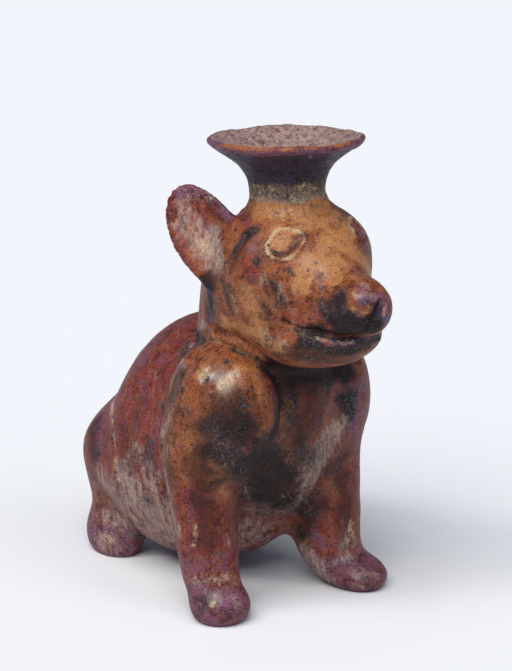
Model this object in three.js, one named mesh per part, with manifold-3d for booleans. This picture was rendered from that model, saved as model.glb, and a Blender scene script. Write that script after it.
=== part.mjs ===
// A hollow jar of burnished fired clay in the form of a fat standing dog, with a flared spout on its head.
// Millimetres, +Z up. The dog faces -Y, its right side is at -X, and it stands on Z = 0.

import * as THREE from "three";
import { mergeVertices } from "three/addons/utils/BufferGeometryUtils.js";
import Module from "manifold-3d";

// Driving dimensions
const dogHeight = 280; // floor to the lip of the spout
const wall = 7; // clay round the chamber, the same all over
const mouthWidth = 88.5; // across the spout's lip
const throatWidth = 42; // outside, at the spout's narrowest
const boreWidth = 29; // the way down through the spout
const lipThickness = 4.5;
const spoutLean = 5.2; // degrees from upright
const spoutTurn = 18; // degrees from straight backwards to the left, the way the spout leans
const earThickness = 7; // at the middle of the blade
const earCup = 4; // how far the blade's edges curl away from the head
const eyeWidth = 22; // along the middle of its ring
const eyeHeight = 18;
const eyeRidge = { width: 2.8, height: 1 };
const mouthGroove = { width: 4.4, depth: 3 };
const noseGroove = { width: 3.2, depth: 2.2 };
const nostrilWidth = 7;

// How finely each form is faceted
const trunkCell = 9;
const headCell = 7.8;
const chamberCell = 17;
const spoutSides = 30;
const earSides = 14;
const eyeSides = 16;
const grooveSides = 6;
const nostrilSides = 8;
const smoothings = 4;

// The pose and the proportions are shares of the height: one share is a hundredth of it.
const share = dogHeight / 100;
const spot = (x, y, z) => new THREE.Vector3(x, y, z).multiplyScalar(share);
const radians = THREE.MathUtils.degToRad;

// Lumps of clay are fields, under 0 inside and about the distance to the surface outside. The seam of a lump
// is how softly it runs into the clay before it, in shares: one number, or one in front and one behind.
// An egg has its middle and half sizes in shares, and its front end is tipped up by some degrees.
function egg(middle, halves, { seam = 8, tip = 0 } = {}) {
  const [cx, cy, cz] = spot(...middle);
  const [rx, ry, rz] = spot(...halves);
  const cos = Math.cos(radians(tip));
  const sin = Math.sin(radians(tip));
  const field = (x, y, z) => {
    const across = x - cx;
    const along = cos * (y - cy) - sin * (z - cz);
    const up = cos * (z - cz) + sin * (y - cy);
    const reach = Math.hypot(across / rx, along / ry, up / rz);
    const slope = Math.hypot(across / rx ** 2, along / ry ** 2, up / rz ** 2);
    return slope > 0 ? (reach * (reach - 1)) / slope : -Math.min(rx, ry, rz);
  };
  const [front, back] = [seam].flat().concat(seam);
  const backness = (y) => THREE.MathUtils.smoothstep(y, cy - ry, cy + ry);
  const blend = (x, y) => share * THREE.MathUtils.lerp(front, back, backness(y));
  return { field, blend };
}

// A limb tapers from one ball to another.
function limb(from, fromRadius, to, toRadius, { seam = 6 } = {}) {
  const start = spot(...from);
  const line = spot(...to).sub(start);
  const length = line.length();
  const first = fromRadius * share;
  const taper = (toRadius - fromRadius) * share;
  const drop = taper / length / Math.sqrt(1 - (taper / length) ** 2);
  line.normalize();
  const field = (x, y, z) => {
    const dx = x - start.x;
    const dy = y - start.y;
    const dz = z - start.z;
    const along = dx * line.x + dy * line.y + dz * line.z;
    const out = Math.sqrt(Math.max(dx * dx + dy * dy + dz * dz - along * along, 0));
    const step = THREE.MathUtils.clamp((along + out * drop) / length, 0, 1);
    return Math.hypot(out, along - step * length) - (first + step * taper);
  };
  return { field, blend: () => seam * share };
}

// Presses lumps together in their order, each with its own soft seam.
function press(lumps) {
  return (x, y, z) =>
    lumps.reduce((clay, lump) => {
      const next = lump.field(x, y, z);
      const seam = lump.blend(x, y);
      const overlap = Math.max(seam - Math.abs(clay - next), 0);
      return Math.min(clay, next) - (overlap * overlap) / (4 * seam);
    }, Infinity);
}

// Body: the barrel, the rump, the chest, the throat, the two shoulders and the two thighs
const thigh = (side) => egg([side * 11.6, 15.9, 26.1], [7.5, 10.3, 11.7], { seam: 2 });
const body = [
  egg([0, 3.3, 28.7], [21.6, 21.2, 26.4], { tip: 7.5 }),
  egg([0, 10.5, 22.5], [21.3, 12.1, 19.4], { seam: 10 }),
  egg([0, -16.3, 39.3], [12.4, 12.8, 17.7], { seam: 10 }),
  egg([0, -18.9, 47.8], [10.9, 8.9, 9.9], { seam: 5 }),
  egg([-13, -18.4, 42.5], [11.3, 13, 14.4], { seam: [3, 8] }),
  egg([13, -16.2, 43.5], [8.9, 10.8, 11.6], { seam: [3, 8] }),
  thigh(-1),
  thigh(1),
];

// Legs: each a tapering limb on a rounded paw
const hindLeg = (side) => [
  limb([side * 12, 18, 22.8], 11.5, [side * 14, 23, 9], 4.8, { seam: 3 }),
  egg([side * 15.7, 21.3, 3.4], [5.4, 7.4, 6], { seam: 5 }),
];
const legs = [
  limb([-17.9, -16.3, 33.8], 7.6, [-17.8, -20.2, 9.5], 6, { seam: 6 }),
  egg([-18, -24.2, 3], [6.3, 6.3, 4.6], { seam: 4 }),
  limb([12.2, -15.4, 35.1], 8.6, [12.5, -19.3, 9], 6.7, { seam: 7 }),
  egg([16.4, -22.4, 2.4], [6.4, 9, 3.8], { seam: 4 }),
  ...hindLeg(-1),
  ...hindLeg(1),
];
const tail = limb([0, 21, 31], 4.2, [0, 26, 38], 2.4, { seam: 5 });

// Head, from the neck to the lower lip and the foot of the spout
const skull = [
  limb([0, -12.5, 49.8], 13.8, [0, -16.9, 65.3], 14.8),
  egg([0, -23.6, 74.3], [16.5, 14.1, 11.5], { seam: 6 }),
  limb([0, -26.1, 67.2], 11.5, [0, -42.2, 68.8], 6.7, { seam: 8 }),
  egg([0, -34.6, 60.3], [12.3, 10.3, 5.6], { seam: 6 }),
];
const muzzle = [
  egg([0, -49.8, 69.8], [4.4, 5.1, 5.1], { seam: 6 }),
  egg([0, -44.2, 62], [5.4, 4.8, 2.9], { seam: 3 }),
  limb([0, -23.3, 79.4], 7.8, [0, -22.4, 84], 7, { seam: 4 }),
];

// Polygonises the surface where a field is 0, inside a box. Every sheet of the surface in a grid cell gets
// one vertex, and every grid edge that the surface crosses gets one quad, so that the result is closed.
const cornerSteps = [0, 1, 2, 3, 4, 5, 6, 7].map((corner) => [1, 2, 4].map((bit) => (corner & bit ? 1 : 0)));
const axisSteps = [1, 2, 4].map((bit) => cornerSteps[bit]);
const cellEdges = cornerSteps.flatMap((_, corner) =>
  [1, 2, 4].filter((bit) => !(corner & bit)).map((bit) => [corner, corner | bit]),
);
const edgeBetween = (a, b) =>
  cellEdges.findIndex(([low, high]) => low === Math.min(a, b) && high === Math.max(a, b));
const cellFaces = [1, 2, 4].flatMap((normal) => {
  const [u, v] = [1, 2, 4].filter((bit) => bit !== normal);
  return [0, normal].map((base) => [base, base + u, base + u + v, base + v]);
});

// Gives each edge of a cell the number of its sheet: the two crossed edges of a face are in one sheet.
function sheetsOf(inside) {
  const sheet = cellEdges.map((_, edge) => edge);
  const root = (edge) => (sheet[edge] === edge ? edge : root(sheet[edge]));
  for (const face of cellFaces) {
    const crossed = [0, 1, 2, 3]
      .filter((n) => inside[face[n]] !== inside[face[(n + 1) % 4]])
      .map((n) => edgeBetween(face[n], face[(n + 1) % 4]));
    if (crossed.length) sheet[root(crossed[0])] = root(crossed[1]);
  }
  return sheet.map((_, edge) => root(edge));
}

// Moves a point onto the surface of a field, or to some depth below it.
function settle(field, point, { depth = 0, rounds = 3 } = {}) {
  const step = 0.05 * share;
  for (let round = 0; round < rounds; round++) {
    const { x, y, z } = point;
    const slope = new THREE.Vector3(
      field(x + step, y, z) - field(x - step, y, z),
      field(x, y + step, z) - field(x, y - step, z),
      field(x, y, z + step) - field(x, y, z - step),
    ).divideScalar(2 * step);
    point.addScaledVector(slope, -(field(x, y, z) + depth) / Math.max(slope.lengthSq(), 0.2));
  }
  return point;
}

function polygonise(field, box, cell) {
  const counts = box.getSize(new THREE.Vector3()).divideScalar(cell).ceil().addScalar(1).toArray();
  const at = (i, j, k) => i + counts[0] * (j + counts[1] * k);
  const place = (i, j, k) => new THREE.Vector3(i, j, k).multiplyScalar(cell).add(box.min);
  const each = (first, visit) => {
    for (let k = first; k < counts[2] - 1; k++)
      for (let j = first; j < counts[1] - 1; j++)
        for (let i = first; i < counts[0] - 1; i++) visit(i, j, k);
  };
  const values = new Float64Array(counts[0] * counts[1] * counts[2]).fill(cell);
  each(1, (i, j, k) => {
    values[at(i, j, k)] = field(...place(i, j, k).toArray());
  });

  // A face of a cell that is inside at two opposite corners only is filled, as its sheets would touch.
  let filling = true;
  const fill = (i, j, k) => {
    for (const face of cellFaces) {
      const nodes = face.map((corner) => {
        const [a, b, c] = cornerSteps[corner];
        return at(i + a, j + b, k + c);
      });
      const [a, b, c, d] = nodes.map((node) => values[node] < 0);
      if (a !== c || b !== d || a === b) continue;
      const outside = nodes.filter((node) => values[node] >= 0);
      const nearest = values[outside[0]] < values[outside[1]] ? outside[0] : outside[1];
      values[nearest] = -0.01 * cell;
      filling = true;
    }
  };
  while (filling) {
    filling = false;
    each(0, fill);
  }

  const vertices = [];
  const vertexOf = new Map();
  each(0, (i, j, k) => {
    const corners = cornerSteps.map(([a, b, c]) => [i + a, j + b, k + c]);
    const value = corners.map((corner) => values[at(...corner)]);
    const inside = value.map((one) => one < 0);
    if (inside.every((one) => one === inside[0])) return;
    const sheet = sheetsOf(inside);
    const patches = new Map();
    cellEdges.forEach(([a, b], edge) => {
      if (inside[a] === inside[b]) return;
      const crossing = place(...corners[a]).lerp(place(...corners[b]), value[a] / (value[a] - value[b]));
      const patch = patches.get(sheet[edge]) ?? { sum: new THREE.Vector3(), edges: [] };
      patch.sum.add(crossing);
      patch.edges.push(edge);
      patches.set(sheet[edge], patch);
    });
    for (const { sum, edges } of patches.values()) {
      edges.forEach((edge) => vertexOf.set(at(i, j, k) * 12 + edge, vertices.length));
      vertices.push(settle(field, sum.divideScalar(edges.length)));
    }
  });

  const faces = [];
  each(1, (i, j, k) => {
    axisSteps.forEach((step, axis) => {
      const here = values[at(i, j, k)] < 0;
      const there = values[at(i + step[0], j + step[1], k + step[2])] < 0;
      if (here === there) return;
      const [u, v] = [(axis + 1) % 3, (axis + 2) % 3];
      const ring = [[0, 0], [1, 0], [1, 1], [0, 1]].map(([a, b]) => {
        const back = axisSteps[u].map((unit, n) => unit * a + axisSteps[v][n] * b);
        const low = a * (1 << u) + b * (1 << v);
        const edge = edgeBetween(low, low + (1 << axis));
        return vertexOf.get(at(i - back[0], j - back[1], k - back[2]) * 12 + edge);
      });
      if (there) ring.reverse();
      const [p, q, r, s] = ring;
      const shortWay = vertices[p].distanceTo(vertices[r]) < vertices[q].distanceTo(vertices[s]);
      faces.push(...(shortWay ? [[p, q, r], [p, r, s]] : [[q, r, s], [q, s, p]]));
    });
  });
  return { vertices, faces };
}

// A closed skin round a field. Each vertex goes towards the middle of its neighbours, then back onto the
// surface, which evens out the facets.
function skin(field, low, high, cell) {
  const { vertices, faces } = polygonise(field, new THREE.Box3(spot(...low), spot(...high)), cell);
  const near = vertices.map(() => new Set());
  for (const [a, b, c] of faces) {
    near[a].add(b).add(c);
    near[b].add(a).add(c);
    near[c].add(a).add(b);
  }
  for (let round = 0; round < smoothings; round++) {
    const moved = vertices.map((vertex, n) => {
      const middle = new THREE.Vector3();
      near[n].forEach((m) => middle.add(vertices[m]));
      return settle(field, middle.divideScalar(near[n].size).lerp(vertex, 0.4), { rounds: 2 });
    });
    moved.forEach((vertex, n) => vertices[n].copy(vertex));
  }
  return new THREE.BufferGeometry().setFromPoints(vertices).setIndex(faces.flat());
}

// Spout, upright and then leaned back, so that the front of its lip is the highest. Heights along it are
// shares of its rise from its foot, inside the crown of the head.
const spoutFoot = spot(-0.5, -22.8, 80);
const mouth = mouthWidth / 2;
const throat = throatWidth / 2;
const lip = lipThickness / 2;
const lipRise = dogHeight - spoutFoot.z - lip - (mouth - lip) * Math.sin(radians(spoutLean));
const spoutRise = lipRise / Math.cos(radians(spoutLean)) + lip;
const leanSpout = new THREE.Matrix4()
  .makeTranslation(spoutFoot)
  .multiply(new THREE.Matrix4().makeRotationZ(-radians(spoutTurn)))
  .multiply(new THREE.Matrix4().makeRotationX(-radians(spoutLean)))
  .multiply(new THREE.Matrix4().makeRotationX(Math.PI / 2));

function spout() {
  const bore = boreWidth / 2;
  const flare = mouth - throat;
  const under = [
    [1.2 * throat, 0],
    [throat, 0.36],
    [throat + 0.05 * flare, 0.52],
    [throat + 0.2 * flare, 0.67],
    [throat + 0.5 * flare, 0.81],
    [throat + 0.8 * flare, 0.91],
  ].map(([radius, rise]) => new THREE.Vector2(radius, rise * spoutRise));
  const lipMiddle = new THREE.Vector2(mouth - lip, spoutRise - lip);
  const rolled = [0, 35, 65, 95, 130].map((turn) =>
    new THREE.Vector2(lip * Math.cos(radians(turn)), lip * Math.sin(radians(turn))).add(lipMiddle),
  );
  const dish = [
    new THREE.Vector2(mouth - 3.4 * lip, spoutRise - 1.1 * lip),
    new THREE.Vector2(bore + 0.5 * flare, 0.82 * spoutRise),
    new THREE.Vector2(bore + 0.15 * flare, 0.71 * spoutRise),
    new THREE.Vector2(0, 0.45 * spoutRise),
  ];
  const profile = [new THREE.Vector2(0, 0), ...under, ...rolled, ...dish];
  return new THREE.LatheGeometry(profile, spoutSides).applyMatrix4(leanSpout);
}

function spoutBore() {
  const profile = [[0, -0.4], [1, -0.4], [1, 0.76], [0, 0.76]].map(
    ([radius, rise]) => new THREE.Vector2((radius * boreWidth) / 2, rise * spoutRise),
  );
  return new THREE.LatheGeometry(profile, spoutSides, Math.PI / spoutSides).applyMatrix4(leanSpout);
}

// Ears: each an oval blade through its middle, its tip and the top of its front edge, cupped on its outer face
function ear(side) {
  const middle = spot(side * 14 - 0.4, -15.5, 78);
  const along = spot(side * 16.9 - 0.4, -6.6, 86.9).sub(middle);
  const across = spot(side * 10.5 - 0.4, -19.6, 82.9).sub(middle);
  const length = along.length();
  along.normalize();
  across.addScaledVector(along, -across.dot(along));
  const width = across.length();
  across.setLength(-side);
  const out = across.clone().cross(along).setLength(1);
  const blade = new THREE.SphereGeometry(1, earSides, earSides / 2 + 3);
  const place = blade.attributes.position;
  for (let n = 0; n < place.count; n++) {
    const [a, l, o] = [place.getX(n), place.getY(n), place.getZ(n)];
    place.setXYZ(n, a * width, l * length, (o * earThickness) / 2 + earCup * (a * a + 0.4 * l * l - 0.5));
  }
  const basis = new THREE.Matrix4().makeBasis(across, along, out).setPosition(middle);
  return blade.applyMatrix4(basis);
}

// The radius of a round strand that stands out of the clay, or of a round tool that cuts into it, so that it
// leaves a ridge or a groove of some width and depth
const strandRadius = (width, depth) => (width ** 2 / 4 + depth ** 2) / (2 * depth);

// A groove along a line of spots, which are first moved onto the skin of a field
function groove(field, spots, size) {
  const radius = strandRadius(size.width, size.depth);
  const points = spots.map((one) => settle(field, spot(...one), { depth: size.depth - radius }));
  const round = new THREE.Shape().absarc(0, 0, radius, 0, 2 * Math.PI);
  return new THREE.ExtrudeGeometry(round, {
    extrudePath: new THREE.CatmullRomCurve3(points),
    steps: Math.round(spots.length * 1.5),
    curveSegments: grooveSides / 2,
    bevelEnabled: false,
  });
}

const face = press([...skull, ...muzzle]);

// The lid of an eye is an oval ring of clay, laid on the skin of the face.
function eyeRing(side) {
  const radius = strandRadius(eyeRidge.width, eyeRidge.height);
  const middle = spot(side * 8.7, -33.4, 81.1);
  const across = spot(side * -0.87, -0.27, 0.43).setLength(eyeWidth / 2);
  const up = spot(side * 0.06, 0.8, 0.61).setLength(eyeHeight / 2);
  const out = across.clone().cross(up).setLength(-side);
  const ring = new THREE.TorusGeometry(eyeWidth, radius, grooveSides, eyeSides);
  const place = ring.attributes.position;
  for (let n = 0; n < place.count; n++) {
    const turn = Math.atan2(place.getY(n), place.getX(n));
    const rim = across.clone().multiplyScalar(Math.cos(turn)).addScaledVector(up, Math.sin(turn));
    const point = settle(face, middle.clone().add(rim), { depth: radius - eyeRidge.height });
    point.addScaledVector(rim.normalize(), Math.hypot(place.getX(n), place.getY(n)) - eyeWidth);
    place.setXYZ(n, ...point.addScaledVector(out, side * -place.getZ(n)));
  }
  return ring;
}

function mouthLine() {
  const corner = [[10.7, -36.8, 65.7], [9.3, -39.9, 64.6], [7.3, -43.3, 63.7]];
  const half = [...corner, [4.7, -46.5, 63.6], [2.2, -48.5, 63.9]];
  const other = half.map(([x, y, z]) => [-x, y, z]).reverse();
  return groove(face, [...half, [0, -49.1, 64.1], ...other], mouthGroove);
}

function noseCleft() {
  return groove(face, [[-0.7, -52.8, 73], [-1, -54, 70.2], [-1.5, -52.6, 67.2], [-2, -50.6, 65]], noseGroove);
}

function nostril(side) {
  const middle = settle(face, spot(side * 3.6, -51.2, 68.4));
  return new THREE.SphereGeometry(nostrilWidth / 2, nostrilSides, nostrilSides / 2).translate(...middle);
}

// Joining and cutting
const wasm = await Module();
wasm.setup();

function solid(geometry) {
  const bare = geometry.clone();
  bare.deleteAttribute("normal");
  bare.deleteAttribute("uv");
  const merged = mergeVertices(bare, 1e-3);
  return new wasm.Manifold(
    new wasm.Mesh({
      numProp: 3,
      vertProperties: new Float32Array(merged.attributes.position.array),
      triVerts: new Uint32Array(merged.index.array),
    }),
  );
}

const join = (parts) => parts.reduce((whole, part) => whole.add(part));
const cut = (whole, parts) => parts.reduce((rest, part) => rest.subtract(part), whole);

const trunk = skin(press([...body, ...legs, tail]), [-34, -40, -8], [34, 38, 66], trunkCell);
const head = skin(face, [-22, -62, 30], [22, 8, 100], headCell);
const clay = join([trunk, head, spout(), ear(-1), ear(1), eyeRing(-1), eyeRing(1)].map(solid));

// The chamber follows the body and the head, one wall inside them. The legs, ears and tail are solid clay.
const inset = (lumps) => {
  const field = press(lumps);
  return (x, y, z) => field(x, y, z) + wall;
};
const chamber = join([
  solid(skin(inset(body), [-34, -40, -4], [34, 36, 64], chamberCell)),
  solid(skin(inset(skull), [-22, -60, 30], [22, 8, 92], chamberCell)),
  solid(spoutBore()),
]);

const floor = new THREE.BoxGeometry(3 * dogHeight, 3 * dogHeight, dogHeight).translate(0, 0, -dogHeight / 2);
const carving = [mouthLine(), noseCleft(), nostril(-1), nostril(1)].map(solid);
const { vertProperties, triVerts } = cut(clay, [chamber, solid(floor), ...carving]).getMesh();

// The part, with the middle of its footprint on the Z axis
const geometry = new THREE.BufferGeometry();
geometry.setAttribute("position", new THREE.BufferAttribute(vertProperties, 3));
geometry.setIndex(new THREE.BufferAttribute(triVerts, 1));
geometry.computeBoundingBox();
const middle = geometry.boundingBox.getCenter(new THREE.Vector3());
geometry.translate(-middle.x, -middle.y, 0);
geometry.computeVertexNormals();

const firedClay = new THREE.MeshStandardMaterial({ color: 0x9a4f2c, roughness: 0.45, metalness: 0 });
const jar = new THREE.Mesh(geometry, firedClay);
jar.name = "dog_jar";

const group = new THREE.Group();
group.add(jar);
export default group;
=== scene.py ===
"""A hollow jar of burnished clay in the form of a fat dog, dressed over its solid frame.

The frame holds the jar's form and size. This script copies it, draws its skin even and fine, carves the
face, the creases and the worn lip, and lays on the slip, soot, stains and dirt of the old clay, with
painted shade under the jaw, the chin and the spout's lip, a bluish tint that is partly painted shade, and
painted highlights on the right shoulder and the nose. Lengths on the jar are in millimetres, or in shares
of its height where a docstring says so. Lengths in the studio are in metres. The dog faces -Y and its left
side is at +X.
"""

import logging
import math
from dataclasses import dataclass, field
from enum import Enum
from typing import Sequence

import bpy
import numpy as np
from mathutils import Matrix, Vector


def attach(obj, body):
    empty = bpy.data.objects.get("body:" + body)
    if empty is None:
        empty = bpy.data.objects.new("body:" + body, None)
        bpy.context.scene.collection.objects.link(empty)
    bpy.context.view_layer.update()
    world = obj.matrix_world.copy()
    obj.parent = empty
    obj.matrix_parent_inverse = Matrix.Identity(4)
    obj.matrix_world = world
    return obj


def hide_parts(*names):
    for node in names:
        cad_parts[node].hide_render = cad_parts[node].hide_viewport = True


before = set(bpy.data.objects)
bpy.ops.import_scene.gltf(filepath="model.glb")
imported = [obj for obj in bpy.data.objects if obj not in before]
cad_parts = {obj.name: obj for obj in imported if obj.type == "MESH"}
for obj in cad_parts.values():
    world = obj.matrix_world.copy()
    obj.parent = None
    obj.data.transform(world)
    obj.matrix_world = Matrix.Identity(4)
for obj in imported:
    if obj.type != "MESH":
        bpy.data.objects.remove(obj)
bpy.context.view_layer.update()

log = logging.getLogger("dog_jar")
Array = np.ndarray
Spot = tuple[float, float, float]
Span = tuple[float, float]
Tint = tuple[float, float, float, float]

SHARE = 2.8  # a hundredth of the jar's height, in millimetres
MIDDLE = np.array([3.24, 35.49, 0.0])  # the mid-plane's foot in the frame, in millimetres


def deselect_all() -> None:
    """Leaves object mode with nothing selected."""
    if bpy.context.object and bpy.context.object.mode != "OBJECT":
        bpy.ops.object.mode_set(mode="OBJECT")
    bpy.ops.object.select_all(action="DESELECT")


def activate(piece: bpy.types.Object) -> None:
    """Selects one object alone and makes it the active one."""
    deselect_all()
    piece.select_set(True)
    bpy.context.view_layer.objects.active = piece


def smoothstep(low: float, high: float, value: Array) -> Array:
    """Rises softly from 0 at low to 1 at high."""
    share = np.clip((value - low) / (high - low), 0.0, 1.0)
    return share * share * (3.0 - 2.0 * share)


# The form of the clay


@dataclass(frozen=True)
class Egg:
    """An egg-shaped lump of clay, in shares of the height.

    Attributes:
        middle: Its middle.
        halves: Its half sizes.
        seam: The width of its seam with the lumps before it in the list, at its front and at its back.
        tip: How far its front end is tipped up, in degrees.
    """

    middle: Spot
    halves: Spot
    seam: Span = (8.0, 8.0)
    tip: float = 0.0

    def depth(self, at: Array) -> Array:
        """About the distance to the lump's surface, below 0 inside it."""
        cos, sin = math.cos(math.radians(self.tip)), math.sin(math.radians(self.tip))
        off = at - np.array(self.middle)
        x, y, z = off.T
        turned = np.stack([x, cos * y - sin * z, cos * z + sin * y], 1)
        halves = np.array(self.halves)
        reach = np.linalg.norm(turned / halves, axis=1)
        slope = np.linalg.norm(turned / halves**2, axis=1)
        return reach * (reach - 1.0) / np.maximum(slope, 1e-9)

    def blend(self, at: Array) -> Array:
        """The width of the seam at each point."""
        front, back = self.seam
        y, half = self.middle[1], self.halves[1]
        return front + (back - front) * smoothstep(y - half, y + half, at[:, 1])


@dataclass(frozen=True)
class Limb:
    """A tapering limb from one ball to another, in shares of the height."""

    start: Spot
    first: float
    end: Spot
    last: float
    seam: float = 6.0

    def depth(self, at: Array) -> Array:
        """About the distance to the limb's surface, below 0 inside it."""
        line = np.array(self.end) - np.array(self.start)
        length = float(np.linalg.norm(line))
        taper = self.last - self.first
        drop = taper / length / math.sqrt(1.0 - (taper / length) ** 2)
        off = at - np.array(self.start)
        along = off @ (line / length)
        out = np.sqrt(np.maximum((off * off).sum(1) - along * along, 0.0))
        step = np.clip((along + out * drop) / length, 0.0, 1.0)
        return np.hypot(out, along - step * length) - (self.first + step * taper)

    def blend(self, at: Array) -> Array:
        """The width of the seam at each point."""
        return np.full(len(at), self.seam)


def press(clay: Array, lump: Array, seam: Array | float) -> Array:
    """Presses a lump into the clay with a soft seam of some width."""
    overlap = np.maximum(seam - np.abs(clay - lump), 0.0)
    return np.minimum(clay, lump) - overlap * overlap / (4.0 * seam)


def pressed(lumps: Sequence[Egg | Limb], at: Array) -> Array:
    """Presses lumps together in their order, each with its own seam."""
    clay = lumps[0].depth(at)
    for lump in lumps[1:]:
        clay = press(clay, lump.depth(at), lump.blend(at))
    return clay


@dataclass(frozen=True)
class Spout:
    """The flared spout: a turned form that leans back, in millimetres.

    Attributes:
        foot: The foot of its axis, inside the crown of the head.
        lean: Degrees from upright.
        turn: Degrees from straight backwards to the left, the way it leans.
        profile: Radius and height of its outline, from the foot up the outside, over the lip and down
            the dish.
    """

    foot: Spot = (-1.4, -63.84, 224.0)
    lean: float = 5.2
    turn: float = 18.0
    profile: tuple[tuple[float, float], ...] = (
        (25.2, -8.0), (22.6, 8.0), (21.4, 18.6), (21.7, 23.5), (22.5, 27.8), (24.4, 32.2), (27.4, 36.6),
        (31.6, 40.1), (36.2, 43.3), (40.2, 46.1), (43.0, 48.2), (44.2, 49.6), (44.4, 50.6), (43.9, 51.6),
        (42.6, 52.3), (41.0, 52.2), (38.0, 50.6), (33.0, 47.6), (27.0, 43.4), (21.5, 39.2), (17.6, 35.6),
        (15.2, 32.0), (14.5, 28.0), (14.5, -8.0),
    )

    def local(self, at: Array) -> tuple[Array, Array, Array]:
        """Radius, height and angle of points, in the spout's own upright frame."""
        turned = Matrix.Rotation(-math.radians(self.turn), 3, "Z")
        leaned = Matrix.Rotation(-math.radians(self.lean), 3, "X")
        own = (at - np.array(self.foot)) @ np.array(turned @ leaned)
        return np.hypot(own[:, 0], own[:, 1]), own[:, 2], np.arctan2(own[:, 1], own[:, 0])

    def depth(self, at: Array) -> Array:
        """Distance to the wall of the spout, below 0 in its clay."""
        radius, height, _ = self.local(at)
        points = np.array(self.profile)
        best = np.full(len(at), np.inf)
        inside = np.zeros(len(at), bool)
        for (r0, h0), (r1, h1) in zip(points, np.roll(points, -1, axis=0)):
            dr, dh = r1 - r0, h1 - h0
            step = np.clip(((radius - r0) * dr + (height - h0) * dh) / (dr * dr + dh * dh), 0.0, 1.0)
            best = np.minimum(best, np.hypot(radius - r0 - step * dr, height - h0 - step * dh))
            if h0 != h1:
                crosses = (h0 > height) != (h1 > height)
                inside ^= crosses & (radius < dr * (height - h0) / dh + r0)
        return np.where(inside, -best, best)


@dataclass(frozen=True)
class Ear:
    """A cupped oval blade, in millimetres.

    Attributes:
        side: -1 for the right ear and 1 for the left one.
        thickness: At the middle of the blade.
        cup: How far its edges curl away from the head.
        middle: The middle of the blade of a left ear, in shares of the height.
        tip: The end of that blade, in shares.
        edge: The inner edge of that blade, in shares.
        shift: How far the head's own middle lies to the left, in shares.
    """

    side: int
    thickness: float = 6.4
    cup: float = 4.6
    middle: Spot = (14.0, -15.5, 78.0)
    tip: Spot = (16.9, -6.6, 86.9)
    edge: Spot = (10.5, -19.6, 82.9)
    shift: float = -0.4

    def own(self, place: Spot) -> Array:
        """A place of the blade on this ear's side of the head, in millimetres."""
        x, y, z = place
        return SHARE * np.array([self.side * x + self.shift, y, z])

    def axes(self) -> tuple[Array, Array, Array, Array, float, float]:
        """The blade's middle, its three directions, its half width and its half length."""
        middle = self.own(self.middle)
        along = self.own(self.tip) - middle
        across = self.own(self.edge) - middle
        length = float(np.linalg.norm(along))
        along = along / length
        across = across - along * (across @ along)
        width = float(np.linalg.norm(across))
        across = -self.side * across / width
        return middle, across, along, np.cross(across, along), width, length

    def depth(self, at: Array) -> Array:
        """About the distance to the blade's surface, below 0 inside it."""
        middle, across, along, out, width, length = self.axes()
        off = at - middle
        wide, far = off @ across / width, off @ along / length
        raised = self.cup * (wide * wide + 0.4 * far * far - 0.5)
        half = self.thickness / 2
        high = (off @ out - raised) / half
        rim = wide * wide + far * far
        reach = np.sqrt(rim**3 + high * high)
        slope = np.sqrt(9 * rim**4 * ((wide / width) ** 2 + (far / length) ** 2) + (high / half) ** 2)
        return reach * (reach - 1.0) / np.maximum(slope, 0.02)


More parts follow.
